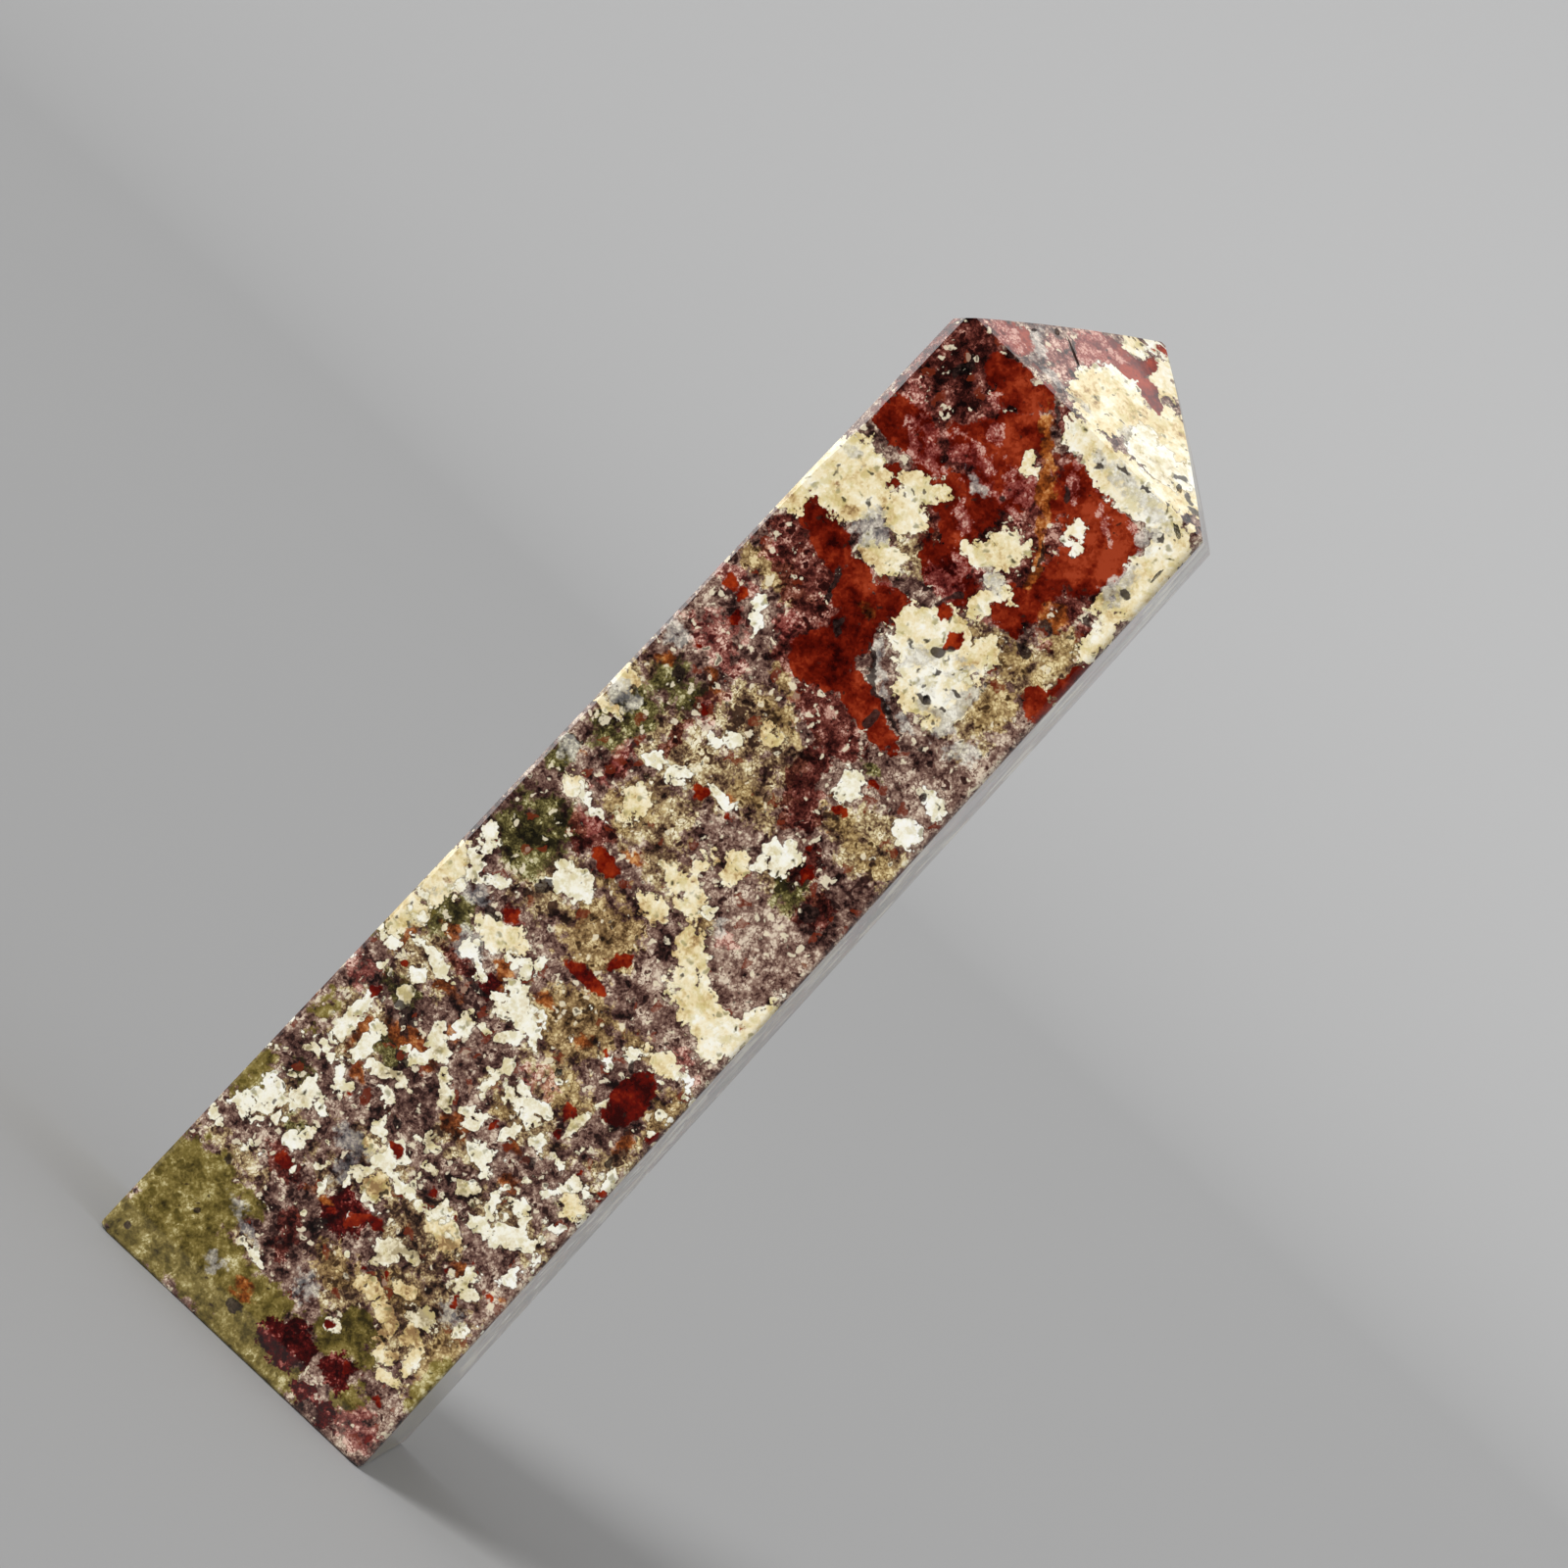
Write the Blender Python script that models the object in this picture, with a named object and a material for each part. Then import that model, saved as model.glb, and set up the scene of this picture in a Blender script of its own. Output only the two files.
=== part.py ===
# Red moss agate tower: one piece of stone, sawn flat underneath and polished to a four-sided point.
# Metres, +Z up along the tower, front face towards -Y, origin on the base under the middle of the tower.
import math

import bmesh
import bpy
from mathutils import Matrix, Vector, noise

MM = 0.001

HEIGHT = 75 * MM
BASE_WIDTH = 19.56 * MM
SHOULDER_WIDTH = 18.25 * MM
SHOULDER_HEIGHT = 68.7 * MM  # where the widths above and the taper between them end
BASE_ROUNDING = 0.35 * MM
APEX = Vector((-0.37 * MM, 0, HEIGHT + 0.10 * MM))  # the tip itself is worn to a tiny flat at HEIGHT
TIP_SWELL = 0.22 * MM  # hand polishing leaves the tip facets slightly domed
FLATS_PER_FACET = 3
SECTION_STEP = 4 * MM
UNCUT_HEIGHT = 1.05 * HEIGHT  # the bar before its point is ground
CUT_TOLERANCE = 0.0001 * MM

ROUND = 1 - math.sqrt(0.5)  # where the middle of a quarter round lies, as a share of its radius
FLAT = 0.5

# The four long edges in turn, seen from above: which corner, the shape of the bevel, and
# its width at heights up the tower, in millimetres.
LONG_EDGES = (
    ("front_right", (1, -1), ROUND, ((0, 0.55), (8, 0.34), (22, 0.46), (37, 0.36), (52, 0.50), (68, 0.58))),
    ("back_right", (1, 1), ROUND, ((0, 0.40), (14, 0.30), (30, 0.42), (49, 0.28), (68, 0.40))),
    ("back_left", (-1, 1), ROUND, ((0, 0.36), (19, 0.42), (41, 0.26), (68, 0.44))),
    (
        "front_left",
        (-1, -1),
        FLAT,
        ((0, 0.36), (11, 0.16), (31, 0.26), (52, 0.18), (57, 0.26), (60.5, 0.50), (68, 0.52)),
    ),
)

# Each tip facet: the corner where its lower edge starts and the height there, then where it ends.
TIP_FACETS = {
    "front": ((-1, -1), 68.77, (1, -1), 68.20),
    "right": ((1, -1), 68.12, (1, 1), 68.45),
    "back": ((1, 1), 68.72, (-1, 1), 68.05),
    "left": ((-1, 1), 67.95, (-1, -1), 67.88),
}

# Natural pits that the polish left open: the surface they are in, the place of the mouth across
# and up the tower, half sizes along, across and deep, and the turn of the long axis from upright.
PITS = (
    ("slot_under_shoulder", "front_face", (7.72, 67.62), (0.46, 0.16, 0.34), 60),
    ("edge_nick", "front_face", (8.55, 65.10), (0.52, 0.12, 0.16), -2),
    ("speck_hole", "front_face", (3.89, 51.73), (0.24, 0.18, 0.26), 10),
    ("lower_hole", "front_face", (3.05, 23.25), (0.26, 0.22, 0.26), 30),
    ("lowest_hole", "front_face", (3.42, 22.40), (0.11, 0.10, 0.12), 0),
    ("brown_pit", "front_tip", (6.13, 69.50), (0.38, 0.22, 0.24), 20),
    ("shoulder_pit", "front_tip", (7.60, 68.75), (0.26, 0.16, 0.22), 35),
    ("fissure", "front_tip", (-3.20, 71.06), (1.10, 0.13, 0.36), 51),
    ("druzy_notch", "front_tip", (-4.70, 71.30), (0.34, 0.22, 0.24), 30),
    ("druzy_hollow", "front_tip", (-5.60, 70.50), (0.30, 0.18, 0.18), -20),
)
PIT_ROUGHNESS = 0.35
PIT_LUMPS = 1.7  # how many lumps there are to a pit
PIT_MOUTH_LIFT = 0.25  # how far a cutter's centre stands out of the surface, as a share of its depth

STONE_COLOUR = (0.30, 0.13, 0.08, 1)
STONE_ROUGHNESS = 0.12


def half_width(z):
    share = z / SHOULDER_HEIGHT
    return (BASE_WIDTH + (SHOULDER_WIDTH - BASE_WIDTH) * share) / 2


def bevel_width(widths, z):
    for (low, low_width), (high, high_width) in zip(widths, widths[1:]):
        if z <= high * MM:
            share = (z / MM - low) / (high - low)
            return (low_width + (high_width - low_width) * share) * MM
    return widths[-1][1] * MM


def section(z, inset):
    """The tower's outline at one height: three points for each bevelled corner, anticlockwise from above."""
    half = half_width(z) - inset
    corners = [Vector((x * half, y * half, z)) for _, (x, y), _, _ in LONG_EDGES]
    points = []
    for number, (_, _, middle, widths) in enumerate(LONG_EDGES):
        corner = corners[number]
        back = (corners[number - 1] - corner).normalized()
        ahead = (corners[(number + 1) % len(corners)] - corner).normalized()
        width = bevel_width(widths, z)
        points.append(corner + back * width)
        points.append(corner + (back + ahead) * width * middle)
        points.append(corner + ahead * width)
    return points


def section_levels():
    """Heights and insets of the sections, from the flat base through its rounded rim to above the tip."""
    levels = [(0, BASE_ROUNDING), (BASE_ROUNDING * ROUND, BASE_ROUNDING * ROUND), (BASE_ROUNDING, 0)]
    steps = round(HEIGHT / SECTION_STEP)
    levels += [(HEIGHT * number / steps, 0) for number in range(1, steps + 1)]
    levels.append((UNCUT_HEIGHT, 0))
    return levels


def add_ring(bm, points):
    verts = [bm.verts.new(point) for point in points]
    return [bm.edges.new((verts[number - 1], verts[number])) for number in range(len(verts))]


def tapered_bar(bm):
    rings = [add_ring(bm, section(z, inset)) for z, inset in section_levels()]
    for lower, upper in zip(rings, rings[1:]):
        bmesh.ops.bridge_loops(bm, edges=lower + upper)
    bmesh.ops.contextual_create(bm, geom=rings[0])
    bmesh.ops.contextual_create(bm, geom=rings[-1])
    bmesh.ops.recalc_face_normals(bm, faces=bm.faces)


def grind_flat(bm, point, normal):
    """Takes off what stands proud of a plane and closes the cut with one face."""
    everything = bm.verts[:] + bm.edges[:] + bm.faces[:]
    cut = bmesh.ops.bisect_plane(
        bm,
        geom=everything,
        dist=CUT_TOLERANCE,
        plane_co=point,
        plane_no=normal,
        clear_outer=True,
    )
    edges = [item for item in cut["geom_cut"] if isinstance(item, bmesh.types.BMEdge)]
    bmesh.ops.contextual_create(bm, geom=edges)


def shoulder_point(corner, height):
    half = half_width(height * MM)
    return Vector((corner[0] * half, corner[1] * half, height * MM))


def facet_plane(name, share):
    """The plane that touches a domed tip facet at a share of the way from its lower edge to the apex."""
    start_corner, start_height, end_corner, end_height = TIP_FACETS[name]
    start = shoulder_point(start_corner, start_height)
    end = shoulder_point(end_corner, end_height)
    middle = (start + end) / 2
    swell = Vector((0, 0, 4 * TIP_SWELL))
    point = middle.lerp(APEX, share) + swell * share * (1 - share)
    upwards = APEX - middle + swell * (1 - 2 * share)
    return point, (end - start).cross(upwards).normalized()


def cut_tip(bm):
    for name in TIP_FACETS:
        for number in range(FLATS_PER_FACET):
            grind_flat(bm, *facet_plane(name, (number + 0.5) / FLATS_PER_FACET))
    grind_flat(bm, Vector((0, 0, HEIGHT)), Vector((0, 0, 1)))


def surface_at(surface, x, z):
    """The point of the front face or the front tip facet at x and z, and the way it faces."""
    if surface == "front_face":
        slope = (SHOULDER_WIDTH - BASE_WIDTH) / 2 / SHOULDER_HEIGHT
        return Vector((x, -half_width(z), z)), Vector((0, -1, -slope)).normalized()
    point, normal = facet_plane("front", 0.5)
    y = point.y - (normal.x * (x - point.x) + normal.z * (z - point.z)) / normal.y
    return Vector((x, y, z)), normal


def pit_cutter(bm, surface, place, half_sizes, turn):
    """A rough, stretched pebble whose lower part scoops the pit out of the surface."""
    along, across, deep = (size * MM for size in half_sizes)
    mouth, normal = surface_at(surface, place[0] * MM, place[1] * MM)
    pebble = bmesh.ops.create_icosphere(bm, subdivisions=2, radius=1)["verts"]
    for vert in pebble:
        vert.co *= 1 + PIT_ROUGHNESS * noise.noise(vert.co * PIT_LUMPS + mouth / MM)
    upright = (Vector((0, 0, 1)) - normal * normal.z).normalized()
    frame = Matrix((upright, normal.cross(upright), normal)).transposed().to_4x4()
    spin = Matrix.Rotation(math.radians(turn), 4, "Z")
    size = Matrix.Diagonal((along, across, deep, 1))
    centre = Matrix.Translation(mouth + normal * deep * PIT_MOUTH_LIFT)
    bmesh.ops.transform(bm, matrix=centre @ frame @ spin @ size, verts=pebble)


def finished_object(name, bm):
    mesh = bpy.data.meshes.new(name)
    bm.to_mesh(mesh)
    bm.free()
    obj = bpy.data.objects.new(name, mesh)
    bpy.context.scene.collection.objects.link(obj)
    return obj


def stone_material():
    material = bpy.data.materials.new("moss_agate")
    material.use_nodes = True
    shader = material.node_tree.nodes["Principled BSDF"]
    shader.inputs["Base Color"].default_value = STONE_COLOUR
    shader.inputs["Roughness"].default_value = STONE_ROUGHNESS
    shader.inputs["Metallic"].default_value = 0
    return material


def pit_cutters():
    bm = bmesh.new()
    for _, surface, place, half_sizes, turn in PITS:
        pit_cutter(bm, surface, place, half_sizes, turn)
    cutters = finished_object("pit_cutters", bm)
    cutters.hide_render = True
    cutters.display_type = "WIRE"
    return cutters


def tower():
    bm = bmesh.new()
    tapered_bar(bm)
    cut_tip(bm)
    stone = finished_object("tower", bm)
    stone.data.materials.append(stone_material())
    pits = stone.modifiers.new("pits", "BOOLEAN")
    pits.operation = "DIFFERENCE"
    pits.solver = "EXACT"
    pits.object = pit_cutters()
    return stone


for old in list(bpy.data.objects):
    bpy.data.objects.remove(old, do_unlink=True)
tower()
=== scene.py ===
import math

import bmesh
import bpy
from mathutils import Matrix, Vector, noise


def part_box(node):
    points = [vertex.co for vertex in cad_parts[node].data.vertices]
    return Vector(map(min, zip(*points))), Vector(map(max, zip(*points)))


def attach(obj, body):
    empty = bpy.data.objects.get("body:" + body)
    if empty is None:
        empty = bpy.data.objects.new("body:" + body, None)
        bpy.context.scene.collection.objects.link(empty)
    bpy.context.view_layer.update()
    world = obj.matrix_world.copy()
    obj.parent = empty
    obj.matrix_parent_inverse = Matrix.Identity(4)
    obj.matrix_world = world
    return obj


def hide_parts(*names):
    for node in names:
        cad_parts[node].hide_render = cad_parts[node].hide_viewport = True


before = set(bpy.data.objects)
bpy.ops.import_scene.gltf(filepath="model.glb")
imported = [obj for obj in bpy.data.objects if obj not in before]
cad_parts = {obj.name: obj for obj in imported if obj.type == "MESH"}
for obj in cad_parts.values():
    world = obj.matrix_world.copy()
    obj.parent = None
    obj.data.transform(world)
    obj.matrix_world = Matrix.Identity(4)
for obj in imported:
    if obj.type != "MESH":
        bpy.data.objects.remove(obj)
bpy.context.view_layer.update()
boxLow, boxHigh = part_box("tower")
mm = 0.001
print("frame loaded")


# Stone: the polished body, worked out from the node's box

stone = dict(
    height=boxHigh.z,
    baseHalf=(boxHigh.x - boxLow.x) / 2,
    taper=0.655 * mm / (68.7 * mm),  # how fast each side leans in
    baseRounding=0.35 * mm,
    apex=Vector((-0.37 * mm, 0, boxHigh.z + 0.10 * mm)),
    tipSwell=0.22 * mm,
    flatsPerFacet=5,
    ringStep=1.0 * mm,
    cornerPoints=5,
    baseRings=4,
    headroom=1.05,  # the bar before its point is ground, as a share of the height
    cutTolerance=0.0001 * mm,
    bevelLumps=0.20,  # uneven width of the hand-ground bevels, as a share
    lumpsPerMillimetre=0.55,
    groundFrom=56 * mm,  # where the flat-ground edge becomes crisp
    groundLumps=0.15,
    sharpAngle=28,
)

# Bevel widths in millimetres at heights up each long edge, round ones and one ground flat
longEdges = [
    dict(
        corner=(1, -1),
        flat=False,
        widths=[(0, 0.55), (8, 0.34), (22, 0.46), (37, 0.36), (52, 0.50), (68, 0.58)],
    ),
    dict(corner=(1, 1), flat=False, widths=[(0, 0.40), (14, 0.30), (30, 0.42), (49, 0.28), (68, 0.40)]),
    dict(corner=(-1, 1), flat=False, widths=[(0, 0.36), (19, 0.42), (41, 0.26), (68, 0.44)]),
    dict(
        corner=(-1, -1),
        flat=True,
        widths=[(0, 0.36), (11, 0.16), (31, 0.26), (52, 0.18), (57, 0.26), (60.5, 0.50), (68, 0.52)],
    ),
]

# Lower edge of each tip facet, corner to corner, with its height at both ends
tipFacets = dict(
    front=((-1, -1), 68.77, (1, -1), 68.20),
    right=((1, -1), 68.12, (1, 1), 68.45),
    back=((1, 1), 68.72, (-1, 1), 68.05),
    left=((-1, 1), 67.95, (-1, -1), 67.88),
)

# Open pits: the surface, the place across and up in millimetres, half sizes along, across and deep, and the
# turn of the long axis from upright
pits = [
    ("face", (7.72, 67.62), (0.46, 0.16, 0.34), 60),
    ("face", (8.55, 65.10), (0.52, 0.10, 0.14), -2),
    ("face", (3.89, 51.73), (0.24, 0.18, 0.26), 10),
    ("face", (3.05, 23.25), (0.26, 0.22, 0.26), 30),
    ("face", (3.42, 22.40), (0.11, 0.10, 0.12), 0),
    ("tip", (6.13, 69.50), (0.38, 0.22, 0.24), 20),
    ("tip", (7.60, 68.75), (0.26, 0.16, 0.22), 35),
    ("tip", (-3.20, 71.06), (1.10, 0.11, 0.30), 51),
    ("tip", (-4.70, 71.30), (0.30, 0.18, 0.20), 30),
    ("tip", (-5.60, 70.50), (0.26, 0.14, 0.14), -20),
]
pitShape = dict(
    roughness=0.38,
    lumps=1.7,  # how many lumps there are to a pit
    fineLumps=5.1,
    fineShare=0.4,
    lift=0.25,  # how far a cutter's centre stands out of the surface, as a share of its depth
)


def halfWidth(z):
    return stone["baseHalf"] - stone["taper"] * z


def bevelWidth(edge, z):
    stops = edge["widths"]
    width = stops[-1][1]
    for (low, lowWidth), (high, highWidth) in zip(stops, stops[1:]):
        if z <= high * mm:
            width = lowWidth + (highWidth - lowWidth) * (z / mm - low) / (high - low)
            break
    start = (edge["corner"][0] * 7, edge["corner"][1] * 5)  # so that no two edges are alike
    lump = noise.noise(Vector((*start, z / mm * stone["lumpsPerMillimetre"])))
    if edge["flat"] and z > stone["groundFrom"]:
        lump *= stone["groundLumps"]
    return width * mm * (1 + stone["bevelLumps"] * lump)


def sectionPoints(z, inset):
    half = halfWidth(z) - inset
    corners = [Vector((e["corner"][0] * half, e["corner"][1] * half, z)) for e in longEdges]
    points = []
    for number, edge in enumerate(longEdges):
        corner = corners[number]
        back = (corners[number - 1] - corner).normalized()
        ahead = (corners[(number + 1) % 4] - corner).normalized()
        width = bevelWidth(edge, z)
        for step in range(stone["cornerPoints"]):
            turn = step / (stone["cornerPoints"] - 1)
            if edge["flat"]:
                points.append(corner + back * width * (1 - turn) + ahead * width * turn)
            else:
                angle = turn * math.pi / 2
                across = back * (1 - math.sin(angle)) + ahead * (1 - math.cos(angle))
                points.append(corner + across * width)
    return points


def ring(bm, points):
    made = bmesh.ops.create_circle(bm, segments=len(points), radius=mm)["verts"]
    for vert, point in zip(made, points):
        vert.co = point
    return list({edge for vert in made for edge in vert.link_edges})


def closeCut(bm, point, normal):
    everything = bm.verts[:] + bm.edges[:] + bm.faces[:]
    cut = bmesh.ops.bisect_plane(
        bm, geom=everything, dist=stone["cutTolerance"], plane_co=point, plane_no=normal, clear_outer=True
    )
    edges = [item for item in cut["geom_cut"] if isinstance(item, bmesh.types.BMEdge)]
    bmesh.ops.contextual_create(bm, geom=edges)


def facetPlane(name, share):
    startCorner, startHeight, endCorner, endHeight = tipFacets[name]
    ends = []
    for corner, height in ((startCorner, startHeight), (endCorner, endHeight)):
        half = halfWidth(height * mm)
        ends.append(Vector((corner[0] * half, corner[1] * half, height * mm)))
    middle = (ends[0] + ends[1]) / 2
    swell = Vector((0, 0, 4 * stone["tipSwell"]))
    point = middle.lerp(stone["apex"], share) + swell * share * (1 - share)
    upwards = stone["apex"] - middle + swell * (1 - 2 * share)
    return point, (ends[1] - ends[0]).cross(upwards).normalized()


def bodyMesh():
    rounding = stone["baseRounding"]
    levels = []
    for step in range(stone["baseRings"]):
        angle = step / (stone["baseRings"] - 1) * math.pi / 2
        levels.append((rounding * (1 - math.cos(angle)), rounding * (1 - math.sin(angle))))
    count = round(stone["height"] / stone["ringStep"])
    levels += [(stone["height"] * n / count, 0) for n in range(1, count + 1)]
    levels.append((stone["height"] * stone["headroom"], 0))
    bm = bmesh.new()
    rings = [ring(bm, sectionPoints(z, inset)) for z, inset in levels]
    for lower, upper in zip(rings, rings[1:]):
        bmesh.ops.bridge_loops(bm, edges=lower + upper)
    bmesh.ops.contextual_create(bm, geom=rings[0])
    bmesh.ops.contextual_create(bm, geom=rings[-1])
    bmesh.ops.recalc_face_normals(bm, faces=bm.faces)
    for name in tipFacets:
        for number in range(stone["flatsPerFacet"]):
            closeCut(bm, *facetPlane(name, (number + 0.5) / stone["flatsPerFacet"]))
    closeCut(bm, Vector((0, 0, stone["height"])), Vector((0, 0, 1)))
    return bm


def surfaceAt(surface, x, z):
    if surface == "face":
        return Vector((x, -halfWidth(z), z)), Vector((0, -1, stone["taper"])).normalized()
    point, normal = facetPlane("front", 0.5)
    y = point.y - (normal.x * (x - point.x) + normal.z * (z - point.z)) / normal.y
    return Vector((x, y, z)), normal


def pitCutters():
    bm = bmesh.new()
    for surface, place, sizes, turn in pits:
        along, across, deep = (size * mm for size in sizes)
        mouth, normal = surfaceAt(surface, place[0] * mm, place[1] * mm)
        pebble = bmesh.ops.create_icosphere(bm, subdivisions=3, radius=1)["verts"]
        for vert in pebble:
            coarse = noise.noise(vert.co * pitShape["lumps"] + mouth / mm)
            fine = noise.noise(vert.co * pitShape["fineLumps"] + mouth / mm)
            vert.co *= 1 + pitShape["roughness"] * (coarse + pitShape["fineShare"] * fine)
        upright = (Vector((0, 0, 1)) - normal * normal.z).normalized()
        axes = Matrix((upright, normal.cross(upright), normal)).transposed().to_4x4()
        move = Matrix.Translation(mouth + normal * deep * pitShape["lift"])
        spin = Matrix.Rotation(math.radians(turn), 4, "Z")
        size = Matrix.Diagonal((along, across, deep, 1))
        bmesh.ops.transform(bm, matrix=move @ axes @ spin @ size, verts=pebble)
    return bm


def newObject(name, bm, *materials):
    mesh = bpy.data.meshes.new(name)
    bm.to_mesh(mesh)
    bm.free()
    obj = bpy.data.objects.new(name, mesh)
    bpy.context.scene.collection.objects.link(obj)
    for material in materials:
        mesh.materials.append(material)
    return obj


# Node helpers

def paint(red, green, blue):
    values = []
    for level in (red, green, blue):
        level /= 255
        values.append(level / 12.92 if level <= 0.04045 else ((level + 0.055) / 1.055) ** 2.4)
    return (*values, 1)


def place(tree, kind, inputs=None, **settings):
    item = tree.nodes.new(kind)
    for name, value in settings.items():
        setattr(item, name, value)
    for name, value in (inputs or {}).items():
        if isinstance(value, bpy.types.NodeSocket):
            tree.links.new(value, item.inputs[name])
        else:
            item.inputs[name].default_value = value
    return item


def maths(tree, operation, *values):
    return place(tree, "ShaderNodeMath", dict(enumerate(values)), operation=operation).outputs[0]


def vectorMaths(tree, operation, *values):
    item = place(tree, "ShaderNodeVectorMath", operation=operation)
    for number, value in enumerate(values):
        slot = item.inputs["Scale"] if operation == "SCALE" and number == 1 else item.inputs[number]
        if isinstance(value, bpy.types.NodeSocket):
            tree.links.new(value, slot)
        else:
            slot.default_value = value
    return item.outputs["Value" if operation in ("LENGTH", "DOT_PRODUCT", "DISTANCE") else "Vector"]


def mixColour(tree, share, under, over):
    item = place(tree, "ShaderNodeMix", data_type="RGBA")
    for slot, value in ((0, share), (6, under), (7, over)):
        if isinstance(value, bpy.types.NodeSocket):
            tree.links.new(value, item.inputs[slot])
        else:
            item.inputs[slot].default_value = value
    return item.outputs[2]


def ramp(tree, share, stops):
    item = place(tree, "ShaderNodeValToRGB", {0: share})
    elements = item.color_ramp.elements
    while len(elements) < len(stops):
        elements.new(0.5)
    for element, (at, *colour) in zip(elements, stops):
        element.position = at
        element.color = paint(*colour)
    return item.outputs["Color"]


def between(tree, value, low, high, start=0.0, end=1.0):
    names = {"Value": value, "From Min": low, "From Max": high, "To Min": start, "To Max": end}
    return place(tree, "ShaderNodeMapRange", names, interpolation_type="SMOOTHSTEP").outputs[0]


def shifted(tree, at, shift):
    if not shift:
        return at
    return place(tree, "ShaderNodeMapping", {"Vector": at, "Location": shift}).outputs[0]


def cloud(tree, at, scale, detail=2.0, rough=0.5, shift=None):
    names = {"Vector": shifted(tree, at, shift), "Scale": scale, "Detail": detail, "Roughness": rough}
    return place(tree, "ShaderNodeTexNoise", names)


def cells(tree, at, scale):
    return place(tree, "ShaderNodeTexVoronoi", {"Vector": at, "Scale": scale})


def newGroup(name, inputs, outputs):
    tree = bpy.data.node_groups.new(name, "ShaderNodeTree")
    for side, sockets in (("INPUT", inputs), ("OUTPUT", outputs)):
        for label, kind in sockets.items():
            tree.interface.new_socket(label, in_out=side, socket_type="NodeSocket" + kind)
    return tree, place(tree, "NodeGroupInput").outputs


def giveOut(tree, **values):
    place(tree, "NodeGroupOutput", values)


def threefold(tree, value):
    return place(tree, "ShaderNodeCombineXYZ", {0: value, 1: value, 2: value}).outputs[0]


def newMaterial(name):
    material = bpy.data.materials.new(name)
    material.use_nodes = True
    return material, material.node_tree, material.node_tree.nodes["Principled BSDF"]


def millimetres(tree):
    # The piece's own coordinates, in millimetres
    at = place(tree, "ShaderNodeTexCoord").outputs["Object"]
    return place(tree, "ShaderNodeMapping", {"Vector": at, "Scale": (1 / mm, 1 / mm, 1 / mm)}).outputs[0]


# Pattern: every patch is (across, up the face, half width, half height), in millimetres, with its turn in
# degrees where it has one. Up the tip facet, heights run on along its slope. The lists pale and shade hold
# no mineral, but make the ones that lie there paler or darker.

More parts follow.
